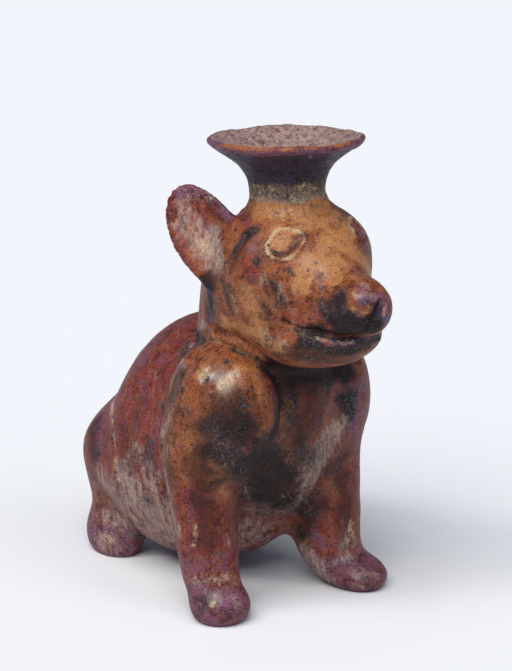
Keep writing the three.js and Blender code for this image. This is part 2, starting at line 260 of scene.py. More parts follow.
@dataclass(frozen=True)
class Clay:
    """The whole outside of the jar as one field: lumps in shares of the height, the spout and the ears."""

    trunk: tuple[Egg | Limb, ...] = (
        Egg((0, 3.3, 28.7), (21.6, 21.2, 26.4), tip=7.5),
        Egg((0, 10.5, 22.5), (21.3, 12.1, 19.4), (10, 10)),
        Egg((0, -16.3, 39.3), (12.4, 12.8, 17.7), (10, 10)),
        Egg((0, -18.9, 47.8), (10.9, 8.9, 9.9), (5, 5)),
        Egg((-13, -18.4, 42.5), (11.3, 13, 14.4), (3, 8)),
        Egg((13, -16.2, 43.5), (8.9, 10.8, 11.6), (3, 8)),
        Egg((-11.6, 15.9, 26.1), (7.5, 10.3, 11.7), (2, 2)),
        Egg((11.6, 15.9, 26.1), (7.5, 10.3, 11.7), (2, 2)),
        Limb((-17.9, -16.3, 33.8), 7.6, (-17.8, -20.2, 9.5), 6, 6),
        Egg((-18, -24.2, 3), (6.3, 6.3, 4.6), (4, 4)),
        Limb((12.2, -15.4, 35.1), 8.6, (12.5, -19.3, 9), 6.7, 7),
        Egg((16.4, -22.4, 2.4), (6.4, 9, 3.8), (4, 4)),
        Limb((-12, 18, 22.8), 11.5, (-14, 23, 9), 4.8, 3),
        Egg((-15.7, 21.3, 3.4), (5.4, 7.4, 6), (5, 5)),
        Limb((12, 18, 22.8), 11.5, (14, 23, 9), 4.8, 3),
        Egg((15.7, 21.3, 3.4), (5.4, 7.4, 6), (5, 5)),
        Limb((0, 21, 31), 4.2, (0, 26, 38), 2.4, 5),
    )
    head: tuple[Egg | Limb, ...] = (
        Limb((0, -12.5, 49.8), 13.8, (0, -16.9, 65.3), 14.8, 6),
        Egg((0, -23.6, 74.3), (16.5, 14.1, 11.5), (6, 6)),
        Limb((0, -26.1, 67.2), 11.5, (0, -42.2, 68.8), 6.7, 8),
        Egg((0, -34.6, 60.3), (12.3, 10.3, 5.6), (6, 6)),
        Egg((0, -49.8, 69.8), (4.4, 5.1, 5.1), (6, 6)),
        Egg((0, -44.2, 62), (5.4, 4.8, 2.9), (3, 3)),
        Limb((0, -23.3, 79.4), 7.8, (0, -22.4, 84), 7, 4),
    )
    neck_seam: float = 1.2
    ear_seam: float = 2.6
    spout_seam: float = 1.0

    def depth(self, at: Array) -> Array:
        """About the distance to the jar's outside in millimetres, below 0 in the clay.

        Args:
            at: Points in the frame, in millimetres.
        """
        own = at - MIDDLE
        shares = own / SHARE
        clay = press(pressed(self.trunk, shares), pressed(self.head, shares), self.neck_seam) * SHARE
        for side in (-1, 1):
            clay = press(clay, Ear(side).depth(own), self.ear_seam * SHARE)
        return press(clay, Spout().depth(own), self.spout_seam * SHARE)

    def slope(self, at: Array) -> Array:
        """The direction in which the depth grows, with its steepness."""
        step = 0.15
        sides = []
        for axis in range(3):
            shift = np.zeros(3)
            shift[axis] = step
            sides.append((self.depth(at + shift) - self.depth(at - shift)) / (2 * step))
        return np.stack(sides, 1)


# The skin


class Side(Enum):
    """Where a point of the skin lies."""

    OUTSIDE = 0
    BORE = 1
    CHAMBER = 2


@dataclass(frozen=True)
class Grain:
    """A soft seeded noise in space, from 0 to 1.

    Attributes:
        size: The size of its coarsest lumps, in millimetres.
        seed: What makes it different from the other grains.
        layers: How many times finer lumps are added, each half as strong.
    """

    size: float
    seed: int
    layers: int = 3

    def at(self, points: Array) -> Array:
        """The noise at some points."""
        table = np.random.default_rng(self.seed).random((32, 32, 32))
        total, weight = np.zeros(len(points)), 0.0
        for layer in range(self.layers):
            place = points * (2.0**layer / self.size) + 17.3 * layer
            corner = np.floor(place).astype(int)
            share = place - corner
            share = share * share * (3.0 - 2.0 * share)
            value = np.zeros(len(points))
            for step in np.ndindex(2, 2, 2):
                x, y, z = ((corner + step) % 32).T
                near = np.where(np.array(step) == 1, share, 1.0 - share).prod(axis=1)
                value += near * table[x, y, z]
            total += value * 0.5**layer
            weight += 0.5**layer
        return total / weight


@dataclass
class Skin:
    """The points of the jar's mesh in millimetres, with what joins them.

    Attributes:
        mesh: The mesh itself.
        points: Its points.
        edges: The numbers of the points that each edge joins.
        side: The side of the wall that each point is on, as the values of Side.
    """

    mesh: bpy.types.Mesh
    points: Array
    edges: Array
    side: Array

    @classmethod
    def read(cls, mesh: bpy.types.Mesh, clay: Clay) -> "Skin":
        """Reads a mesh and tells its sides apart.

        Args:
            mesh: The mesh, in metres.
            clay: The form of the jar's outside.

        Returns:
            The skin of the mesh.
        """
        nearness, bore_radius, bore_foot, bore_top = 2.2, 15.6, 2.0, 33.0
        points = np.empty(len(mesh.vertices) * 3, np.float32)
        mesh.vertices.foreach_get("co", points)
        points = points.reshape(-1, 3).astype(float) * 1000.0
        edges = np.empty(len(mesh.edges) * 2, np.int32)
        mesh.edges.foreach_get("vertices", edges)
        radius, height, _ = Spout().local(points - MIDDLE)
        outside = np.abs(clay.depth(points)) < nearness
        bore = (radius < bore_radius) & (height < bore_top) & (height > bore_foot)
        side = np.where(bore, Side.BORE.value, np.where(outside, Side.OUTSIDE.value, Side.CHAMBER.value))
        return cls(mesh, points, edges.reshape(-1, 2), side)

    def write(self) -> None:
        """Writes the points back to the mesh."""
        self.mesh.vertices.foreach_set("co", (self.points / 1000.0).astype(np.float32).ravel())
        self.mesh.update()

    def normals(self) -> Array:
        """The outward normals at the points."""
        self.write()
        normals = np.empty(len(self.points) * 3, np.float32)
        self.mesh.vertex_normals.foreach_get("vector", normals)
        return normals.reshape(-1, 3).astype(float)

    def pull(self) -> Array:
        """How far each point lies from the mean of its neighbours."""
        a, b = self.edges[:, 0], self.edges[:, 1]
        count = np.maximum(np.bincount(self.edges.ravel(), minlength=len(self.points)), 1)
        means = np.empty_like(self.points)
        for axis in range(3):
            line = self.points[:, axis]
            total = np.bincount(a, line[b], len(line)) + np.bincount(b, line[a], len(line))
            means[:, axis] = total / count
        return means - self.points

    def settle(self, clay: Clay, turns: int) -> None:
        """Slides the outer points to even places on the form of the clay, and smooths the chamber.

        Args:
            clay: The form.
            turns: How many times it is done.
        """
        outside = self.side == Side.OUTSIDE.value
        furthest = 0.8
        for _ in range(turns):
            pull = self.pull()
            self.points[~outside] += 0.5 * pull[~outside]
            at = self.points[outside]
            slope = clay.slope(at)
            steep = np.maximum((slope * slope).sum(1), 0.25)
            slide = pull[outside] - slope * ((pull[outside] * slope).sum(1) / steep)[:, None]
            rise = np.clip(-clay.depth(at) / steep, -furthest, furthest)
            self.points[outside] = at + 0.5 * slide + slope * rise[:, None]
            self.points[:, 2] = np.maximum(self.points[:, 2], 0.0)


def curve(spots: Sequence[Spot], steps: int = 5) -> Array:
    """A smooth line through some spots, as finely stepped points."""
    line = np.array(spots, float)
    if len(line) < 3:
        return line
    closed = np.allclose(line[0], line[-1])
    before = line[-2] if closed else 2 * line[0] - line[1]
    after = line[1] if closed else 2 * line[-1] - line[-2]
    line = np.vstack([before, line, after])
    points = []
    for p0, p1, p2, p3 in zip(line[:-3], line[1:-2], line[2:-1], line[3:]):
        for t in np.linspace(0, 1, steps, endpoint=False):
            near = 2 * p1 + (p2 - p0) * t
            far = (2 * p0 - 5 * p1 + 4 * p2 - p3) * t * t + (3 * p1 - p0 - 3 * p2 + p3) * t**3
            points.append(0.5 * (near + far))
    return np.array(points + [line[-2]])


def along(line: Array, at: Array) -> tuple[Array, Array]:
    """Distance from points to a line, and how far along it they lie, from 0 to 1."""
    if len(line) == 1:
        return np.linalg.norm(at - line[0], axis=1), np.full(len(at), 0.5)
    lengths = np.linalg.norm(np.diff(line, axis=0), axis=1)
    starts = np.concatenate([[0.0], np.cumsum(lengths)])
    best, place = np.full(len(at), np.inf), np.zeros(len(at))
    for start, end, length, gone in zip(line[:-1], line[1:], lengths, starts):
        run = (end - start) / max(length, 1e-9)
        step = np.clip((at - start) @ run, 0.0, length)
        far = np.linalg.norm(at - start - step[:, None] * run, axis=1)
        nearer = far < best
        best = np.where(nearer, far, best)
        place = np.where(nearer, (gone + step) / max(starts[-1], 1e-9), place)
    return best, place


class Cut(Enum):
    """What a stroke leaves in the clay, as the sign of its lift."""

    GROOVE = -1
    RIDGE = 1


@dataclass(frozen=True)
class Stroke:
    """A stroke of the tool along a line of spots on the clay, in millimetres.

    Attributes:
        cut: Whether it leaves a groove or a ridge.
        width: Half its width.
        depth: Its depth or height.
        spots: The line that it follows.
        fade: The share of its length over which each end runs out.
        waver: How much its edges waver, as a share of its width.
    """

    cut: Cut
    width: float
    depth: float
    spots: tuple[Spot, ...]
    fade: float = 0.2
    waver: float = 0.25

    def near(self, at: Array, reach: float) -> Array:
        """Numbers of the points within some reach of the stroke's box."""
        line = np.array(self.spots, float)
        low, high = line.min(0) - reach, line.max(0) + reach
        return np.flatnonzero(((at > low) & (at < high)).all(axis=1))

    def lift(self, at: Array) -> tuple[Array, Array]:
        """Which points the stroke moves, and how far outwards."""
        mine = self.near(at, 2.0 * self.width)
        far, place = along(curve(self.spots), at[mine])
        far = far + self.width * self.waver * (Grain(5.0, 5, 2).at(at[mine]) - 0.5) * 2.0
        share = np.clip(far / self.width, 0.0, 1.0)
        profile = (1.0 - share * share) ** 2
        if self.fade and len(self.spots) > 1:
            profile = profile * smoothstep(0.0, self.fade, np.minimum(place, 1.0 - place) + 0.02)
        return mine, self.cut.value * self.depth * profile


def mirrored(stroke: Stroke, shift: Spot = (0, 0, 0)) -> Stroke:
    """The same stroke on the other side of the dog, moved a little."""
    spots = tuple((2 * MIDDLE[0] - x + shift[0], y + shift[1], z + shift[2]) for x, y, z in stroke.spots)
    return Stroke(stroke.cut, stroke.width, stroke.depth, spots, stroke.fade, stroke.waver)


@dataclass
class Carving:
    """Strokes that are carved together into one part of the jar."""

    strokes: tuple[Stroke, ...]

    def carve(self, skin: Skin) -> None:
        """Moves the outer points along their normals by the sum of the strokes."""
        lift = np.zeros(len(skin.points))
        for stroke in self.strokes:
            mine, amount = stroke.lift(skin.points)
            lift[mine] += amount
        lift[skin.side != Side.OUTSIDE.value] = 0.0
        skin.points += skin.normals() * lift[:, None]

    def reach(self, skin: Skin, margin: float) -> Array:
        """Tells which points lie near any of the strokes."""
        close = np.zeros(len(skin.points), bool)
        for stroke in self.strokes:
            mine = stroke.near(skin.points, stroke.width + margin)
            close[mine[along(np.array(stroke.spots), skin.points[mine])[0] < stroke.width + margin]] = True
        return close


EYE_RING: tuple[Spot, ...] = (
    (-17, -52.5, 231.5), (-12, -56.5, 230.5), (-10, -61.5, 228), (-13.5, -64, 224), (-19, -64.5, 219.5),
    (-24, -62.5, 217.5), (-28, -58, 218), (-29.5, -54, 221.5), (-28, -52, 224.5), (-24.5, -51, 228),
    (-20.5, -50.5, 230.5), (-17, -52.5, 231.5),
)
EYE_UNDER: tuple[Spot, ...] = (
    (-27.5, -55.5, 221), (-25.5, -59, 220), (-22, -61.5, 220), (-17.5, -62.5, 222.5), (-13.5, -61.5, 225.5),
)


def face() -> Carving:
    """The eye rings, the mouth and the nose."""
    ring = Stroke(Cut.RIDGE, 2.0, 1.0, EYE_RING, fade=0.0, waver=0.12)
    under = Stroke(Cut.GROOVE, 1.3, 0.7, EYE_UNDER)
    ball = Stroke(Cut.RIDGE, 9.0, 0.6, ((-20, -57, 226),), waver=0.0)
    mouth = Stroke(Cut.GROOVE, 1.8, 1.9, (
        (-28.5, -64, 182.5), (-26.5, -67, 183), (-24.5, -71, 182), (-22.5, -76, 180.5),
        (-19, -81, 181), (-16, -85.5, 181), (-13.5, -90, 180), (-12, -94, 178.5), (-6.5, -101, 179),
        (-3, -106, 180), (3.5, -108, 180.5),
    ), fade=0.08)
    mouth_front = Stroke(Cut.GROOVE, 2.6, 2.4, (
        (-13, -92, 179), (-10, -97, 178.5), (-6, -102, 179), (3.5, -107.5, 180.5),
    ))
    left_mouth = Stroke(Cut.GROOVE, 1.8, 1.9, (
        (35, -64, 182.5), (31, -71, 182), (25.5, -81, 181), (20, -90, 180), (13, -101, 179),
        (3.5, -108, 180.5),
    ), fade=0.08)
    lower_lip = Stroke(Cut.RIDGE, 2.6, 1.0, (
        (-29.5, -62, 181), (-25.5, -70.5, 179.5), (-22.5, -76.5, 177), (-19, -82.5, 175.5),
        (-13.5, -92, 175), (-6, -100.5, 174.5), (3, -104, 175.5), (12, -100.5, 174.5),
        (25, -82.5, 175.5),
    ))
    upper_lip = Stroke(Cut.RIDGE, 2.4, 0.8, (
        (-22, -75, 185), (-18, -81.5, 184.5), (-15, -86.5, 184), (-12.5, -93, 183),
        (-9, -99.5, 183.5), (-6, -106, 185),
    ))
    nostril_rim = Stroke(Cut.RIDGE, 1.6, 0.6, (
        (-10.5, -106, 197), (-9, -110, 194.5), (-6.5, -113, 194), (-4, -115, 196.5),
        (-1.5, -115.5, 200),
    ), fade=0.3)
    nostril = Stroke(Cut.GROOVE, 4.0, 1.6, (
        (-16, -98, 190), (-13, -102, 191), (-9.5, -107.5, 191), (-6, -112.5, 190.5),
        (-3.5, -115.5, 192.5),
    ), fade=0.35)
    left_nostril = Stroke(Cut.GROOVE, 2.4, 1.6, (
        (22, -97, 188), (17, -104, 187), (12, -110, 186), (8, -112.5, 186),
    ), fade=0.3)
    nose_cleft = Stroke(Cut.GROOVE, 1.6, 1.7, (
        (3, -115.5, 204), (0.5, -117, 200.5), (-1.5, -116.5, 196), (-3.5, -114, 190),
        (-4, -111.5, 185.5),
    ), fade=0.3)
    nose_dent = Stroke(Cut.GROOVE, 2.4, 1.1, ((-5, -113, 200), (-2.5, -114.5, 202)), fade=0.4)
    left = (3.5, 2.0, 0.0)
    eyes = (ring, under, ball, mirrored(ring, left), mirrored(under, left), mirrored(ball, left))
    snout = (mouth, mouth_front, left_mouth, lower_lip, upper_lip)
    nose = (nostril_rim, nostril, left_nostril, nose_cleft, nose_dent)
    return Carving((*eyes, *snout, *nose))


def creases() -> Carving:
    """The folds of the neck, the shoulders, the thighs and the belly, and some dents."""
    thigh = Stroke(Cut.GROOVE, 2.2, 1.0, (
        (-44, 89, 99), (-54, 74.5, 96), (-59, 66, 88), (-61.5, 60, 79), (-62, 56, 66.5), (-60, 55, 54),
        (-57, 54, 43.5),
    ))
    shoulder = Stroke(Cut.GROOVE, 3.4, 1.7, (
        (-20.5, -39, 150), (-17, -40.5, 144), (-15, -43, 137), (-13.5, -45, 129), (-13.5, -46, 121),
        (-15, -46, 113), (-18, -45.5, 105),
    ))
    valley = Stroke(Cut.GROOVE, 5.0, 1.3, (
        (-37, -3, 170), (-40, -3, 161), (-47, -6, 153), (-53, -10, 150), (-57, -10, 144),
        (-61, -11, 137), (-63, -7, 129), (-63, -2, 119), (-66, -4, 111), (-69, -6, 102), (-67, -4, 89),
        (-66, -7, 74), (-66, -13, 61),
    ))
    neck = Stroke(Cut.GROOVE, 2.6, 1.6, (
        (-37, -3, 171), (-37, -12, 168), (-36, -22, 166.5), (-32.5, -31, 165), (-28.5, -40, 161),
        (-25, -45.5, 157.5), (-20, -52, 154),
    ))
    collar = Stroke(Cut.RIDGE, 3.6, 1.5, (
        (-37, -9, 163.5), (-36, -18, 162.5), (-32.5, -27, 161), (-29, -35.5, 159), (-25, -42, 156.5),
    ))
    ear_root = Stroke(Cut.GROOVE, 2.2, 0.9, (
        (-30, -37, 230.5), (-35, -39, 225), (-39, -39, 219.5), (-41.5, -38, 214), (-43, -35, 208),
        (-43, -29, 199.5), (-42, -22.5, 191.5),
    ), waver=0.6)
    belly = Stroke(Cut.GROOVE, 2.6, 1.2, (
        (24, -36, 81.5), (22, -34.5, 73.5), (19.5, -31, 64.5), (16.5, -26.5, 54.5), (14, -19.5, 46),
        (14, -11.5, 38),
    ))
    dents = tuple(
        Stroke(Cut.GROOVE, width, depth, (spot,), waver=0.4)
        for width, depth, spot in (
            (2.4, 0.7, (-55, -24, 147)), (2.8, 0.9, (-55, -29, 144)), (2.2, 0.6, (-52, -28, 149)),
            (2.8, 0.9, (-41, -40, 147)), (2.2, 0.5, (-42, -32, 154)), (2.6, 0.5, (-54, -35, 140)),
            (2.4, 0.6, (-42, -48, 134)), (2.4, 0.8, (-58, -16, 143)), (2.4, 0.8, (-62, -17, 136)),
            (3.0, 0.6, (-47, -44, 128)), (1.8, 0.5, (2, -61, 230)), (1.8, 0.5, (-12, -81, 208)),
        )
    )
    both = (thigh, shoulder, valley, neck, collar, ear_root)
    return Carving((*both, *(mirrored(one) for one in both), belly, *dents))


@dataclass(frozen=True)
class WornLip:
    """The chipped lip and the crusted foot of the spout, in millimetres.

    Attributes:
        chips: How deep the lip is worn.
        sound: The least drop, below 0 where the lip stands a little proud.
        right: How much of the wear the right half has.
        lip_radii: Where the wear sets in and where it is full, from the spout's axis.
        lip_heights: The same, from the spout's foot.
        crust: How rough the foot is.
        crust_start: The heights over which the crust sets in.
        crust_end: The heights over which it runs out.
        crust_radii: The radii between which it lies.
    """

    chips: float = 1.5
    sound: float = -0.05
    right: float = 0.8
    lip_radii: Span = (36.0, 42.0)
    lip_heights: Span = (44.0, 47.0)
    crust: float = 0.9
    crust_start: Span = (4.0, 9.0)
    crust_end: Span = (17.0, 22.0)
    crust_radii: Span = (18.0, 27.0)

    def carve(self, skin: Skin) -> None:
        """Wears the lip down unevenly and roughens the foot."""
        at = skin.points
        radius, height, _ = Spout().local(at - MIDDLE)
        lip = smoothstep(*self.lip_radii, radius) * smoothstep(*self.lip_heights, height)
        coarse, fine = Grain(16.0, 31, 3).at(at * (1, 1, 0.3)), Grain(3.5, 32, 2).at(at)
        drop = self.chips * np.maximum(coarse - 0.38, 0.0) * 2.0 + 0.5 * (fine - 0.5)
        wear = np.where(at[:, 0] > MIDDLE[0], 1.0, self.right)
        skin.points[:, 2] -= lip * np.maximum(drop, self.sound) * wear
        inner, outer = self.crust_radii
        foot = smoothstep(*self.crust_start, height) * (1.0 - smoothstep(*self.crust_end, height))
        foot = foot * (radius < outer) * (radius > inner) * (skin.side == Side.OUTSIDE.value)
        lift = self.crust * foot * (Grain(3.2, 33, 2).at(at) - 0.5) * 2.0
        skin.points += skin.normals() * lift[:, None]


@dataclass(frozen=True)
class HandMade:
    """The unevenness that hands leave in clay, in millimetres.

    Attributes:
        waves: The height of the broad waves.
        wave_size: Their width.
        lumps: The height of the small lumps.
        lump_size: Their width.
        soles: The heights above the floor over which both set in.
    """

    waves: float = 0.9
    wave_size: float = 34.0
    lumps: float = 0.35
    lump_size: float = 9.0
    soles: Span = (0.3, 6.0)

    def carve(self, skin: Skin) -> None:
        """Moves the outer points a little along their normals, and leaves the soles flat."""
        at = skin.points
        waves = self.waves * (Grain(self.wave_size, 41, 2).at(at) - 0.5)
        lift = waves + self.lumps * (Grain(self.lump_size, 42, 3).at(at) - 0.5) * 2.0
        lift *= (skin.side == Side.OUTSIDE.value) * smoothstep(*self.soles, at[:, 2])
        skin.points += skin.normals() * lift[:, None]


# Colour on the clay: stains, dirt, painted shade and painted highlights


class Coat(Enum):
    """A layer of colour on the clay, by the name of its attribute."""

    # The ochre slip, also laid as painted highlight on the crests of the right shoulder.
    OCHRE = "ochre_slip"
    RED = "red_slip"
    PLUM = "plum_slip"
    # A bluish tint on the dark slips: partly their bloom, partly painted bluish shade and sky reflection.
    DUSK_AND_BLUE_SHADE = "dusky_slip"
    ASH = "ashen_crust"
    # Soot, and painted shade under the jaw and the chin.
    SOOT_AND_SHADE = "soot"
    # Smoky patches and painted shade: it darkens places under the jaw, the chin and the spout's lip, in
    # creases and between the legs.
    SMOKE = "smoke"
    SHEEN = "sheen"
    # Pale scuffs and scratches, and painted highlights on the right shoulder and the nose.
    PALE = "pale_scuffs"


@dataclass(frozen=True)
class Patch:
    """A patch of a coat along a line of spots on the clay, in millimetres.

    Attributes:
        coat: The layer that it belongs to.
        strength: How dense it is, from 0 to 1.
        width: Half its width.
        spots: The line that it follows.
        spread: How far it reaches at most, as a share of its width.
        raggedness: How far its edge wanders, as a share of its width.
        fullness: How flat it is in its middle.
        falloff: How fast it thins out.
    """

    coat: Coat
    strength: float
    width: float
    spots: tuple[Spot, ...]
    spread: float = 2.6
    raggedness: float = 1.6
    fullness: float = 1.3
    falloff: float = 1.1

    def paint(self, at: Array, ragged: Array) -> tuple[Array, Array]:
        """Which points the patch covers, and how densely."""
        line = np.array(self.spots, float)
        reach = self.spread * self.width + 1.0
        mine = np.flatnonzero(((at > line.min(0) - reach) & (at < line.max(0) + reach)).all(axis=1))
        far, _ = along(curve(self.spots), at[mine])
        far = np.maximum(far + self.raggedness * self.width * (ragged[mine] - 0.5), 0.0)
        density = self.fullness * np.exp(-self.falloff * (far / self.width) ** 2)
        return mine, self.strength * np.minimum(density, 1.0)


@dataclass(frozen=True)
class Wash:
    """A broad soft-edged layer of a coat over all that lies in a box, in millimetres.

    Attributes:
        coat: The layer that it belongs to.
        strength: How dense it is, from 0 to 1.
        low: The box's lowest corner.
        high: Its highest corner.
        edge: The width of its soft edge.
        raggedness: How far that edge wanders, as a share of its width.
    """

    coat: Coat
    strength: float
    low: Spot
    high: Spot
    edge: float
    raggedness: float = 1.2

    def paint(self, at: Array, ragged: Array) -> tuple[Array, Array]:
        """Which points the wash covers, and how densely."""
        inside = np.minimum(at - np.array(self.low), np.array(self.high) - at).min(axis=1)
        inside = inside + self.raggedness * self.edge * (ragged - 0.5)
        return np.arange(len(at)), self.strength * smoothstep(-self.edge / 2, self.edge / 2, inside)


@dataclass(frozen=True)
class SpoutRings:
    """The rings of colour round the spout, in millimetres.

    Heights are measured from the spout's foot and radii from its axis. A pair tells where a ring sets in
    and where it is full, or where it starts to run out and where it ends.

    Attributes:
        head: The height above the floor under which there is no spout.
        widest: The radius beyond which there is no spout.
        foot: The heights over which the spout sets in.
        raggedness: How far the rings wander up and down.
        rings: The heights over which the plum, the dusky and the sooty ring set in.
        crust: The heights over which the crust at its foot sets in.
        crust_end: The heights over which that crust runs out.
        lip: The radii over which the lip sets in.
        flare: Heights and radii of its outside.
        skin: How far inside that outside the dish begins.
        dish: The heights over which the dish sets in below the lip, and its radius.
        crest: The radii and the heights over which the top of the lip sets in.
        middle: The place of the lip's middle on the floor.
        front: The direction on the floor in which the pale wear of the lip lies.
        worn: The shares of the lip's radius in that direction over which the wear sets in.
        radius: The lip's radius.
    """

    head: float = 236.0
    widest: float = 46.0
    foot: Span = (14.0, 19.0)
    raggedness: float = 4.0
    rings: tuple[Span, Span, Span] = ((18.0, 26.0), (16.0, 24.0), (17.0, 22.0))
    crust: Span = (15.0, 18.0)
    crust_end: Span = (26.0, 31.0)
    lip: Span = (41.5, 43.0)
    flare: tuple[tuple[float, ...], tuple[float, ...]] = (
        (18.0, 32.0, 40.0, 48.0), (20.0, 23.0, 31.0, 43.0),
    )
    skin: float = 1.5
    dish: tuple[Span, float] = ((46.0, 50.0), 42.5)
    crest: tuple[Span, Span] = ((40.0, 42.0), (49.0, 51.0))
    middle: Span = (6.0, -10.0)
    front: Span = (-0.55, -0.83)
    worn: Span = (0.74, 0.96)
    radius: float = 44.0

    def worn_front(self, at: Array) -> Array:
        """How far a place is at the worn front of the lip, from 0 to 1."""
        (x, y), (right, ahead) = self.middle, self.front
        across = (at[:, 0] - x) * right + (at[:, 1] - y) * ahead
        return smoothstep(*self.worn, across / self.radius)

    def paint(self, at: Array, ragged: Array) -> dict[Coat, Array]:
        """Lays the rings round the spout by their height from its foot.

        Args:
            at: Points, in millimetres.
            ragged: A noise at these points, from 0 to 1.

        Returns:
            The density of each coat at the points.
        """
        radius, height, _ = Spout().local(at - MIDDLE)
        height = height + self.raggedness * (ragged - 0.5)
        spout = smoothstep(*self.foot, height) * (radius < self.widest) * (at[:, 2] > self.head)
        dish_heights, dish_radius = self.dish
        under_lip = spout * smoothstep(*dish_heights, height) * (radius < dish_radius)
        inside = spout * (radius < np.interp(height, *self.flare) - self.skin)
        dish = np.minimum(under_lip + inside, 1.0)
        outside = spout * (1.0 - dish)
        above = smoothstep(*self.crust_end, height)
        crust = outside * smoothstep(*self.crust, height) * (1.0 - above)
        lip = smoothstep(*self.lip, radius) * spout
        waist = outside * above * (1.0 - lip)
        crest_radii, crest_heights = self.crest
        crest = spout * smoothstep(*crest_radii, radius) * smoothstep(*crest_heights, height)
        crest = crest * self.worn_front(at)
        plum, dusk_and_blue_shade, soot = (outside * smoothstep(*ring, height) for ring in self.rings)
        return {
            Coat.PLUM: plum * (0.55 + 0.3 * lip) * (1.0 - 0.9 * crest) + 0.6 * dish,
            # The bluish ring, partly painted bluish shade and sky reflection.
            Coat.DUSK_AND_BLUE_SHADE: dusk_and_blue_shade * (1.0 - 0.7 * lip) * (1.0 - crest),
            # The sooty ring and the darkening of the waist on the next line are partly painted shade under
            # the flared lip.
            Coat.SOOT_AND_SHADE: soot * (1.0 - lip) * 0.55 + 0.3 * crust,
            Coat.SMOKE: 0.6 * waist + 0.2 * crust,
            Coat.ASH: 0.55 * crust + 0.85 * dish * (1.0 - lip),
            Coat.PALE: 0.44 * crust + 0.35 * crest * ragged,
            Coat.OCHRE: 0.75 * crest * smoothstep(0.3, 0.55, ragged),
            Coat.RED: 0.5 * lip,
        }


@dataclass
class StainsAndPaintedLight:
    """All the washes and patches on the jar."""

    washes: tuple[Wash, ...]
    patches: tuple[Patch, ...]

    def paint(self, skin: Skin) -> None:
        """Writes one attribute for each coat."""
        at = skin.points
        ragged = Grain(7.0, 51, 3).at(at)
        layers = {coat: np.zeros(len(at)) for coat in Coat}
        for coat, density in SpoutRings().paint(at, ragged).items():
            layers[coat] = np.clip(density, 0.0, 1.0)
        for mark in (*self.washes, *self.patches):
            mine, density = mark.paint(at, ragged)
            layer = layers[mark.coat]
            layer[mine] = 1.0 - (1.0 - layer[mine]) * (1.0 - density)
        for coat, layer in layers.items():
            attribute = skin.mesh.attributes.new(coat.value, "FLOAT", "POINT")
            attribute.data.foreach_set("value", layer.astype(np.float32))


def dabs(coat: Coat, *marks: tuple) -> tuple[Patch, ...]:
    """Patches of one coat.

    Args:
        coat: The layer that they belong to.
        marks: For each patch its strength, half its width and the spots of its line.

    Returns:
        The patches, in the same order.
    """
    return tuple(Patch(coat, strength, width, tuple(spots)) for strength, width, *spots in marks)


WASHES = (
    Wash(Coat.RED, 0.9, (-90, 8, 40), (90, 140, 172), 26.0),
    Wash(Coat.RED, 0.55, (-90, -70, 26), (90, 0, 84), 22.0),
    Wash(Coat.PLUM, 0.85, (-90, -90, -20), (90, 140, 21), 8.0),
    Wash(Coat.PLUM, 0.4, (-90, -90, -20), (90, 140, 40), 20.0),
    Wash(Coat.ASH, 0.7, (-72, 0, 16), (72, 84, 60), 22.0),
    Wash(Coat.PLUM, 0.5, (20, -60, 84), (90, 60, 150), 20.0),
    Wash(Coat.SOOT_AND_SHADE, 0.35, (-44, -60, 50), (30, -10, 108), 26.0),
)

# The crust and the dark ring round the foot of the spout, and the spout's rim
CROWN = (
    *dabs(
        Coat.PLUM,
        (0.9, 8.7, (-25, -36, 265), (-6, -51, 264), (16, -56, 269)),
    ),
    *dabs(
        Coat.ASH,
        (0.9, 2.9, (-19, -27, 248), (-9, -45, 252), (13, -45, 248)),
        (0.8, 2, (-19, -27, 244), (-9, -45, 245), (-3, -48, 245)),
    ),
)

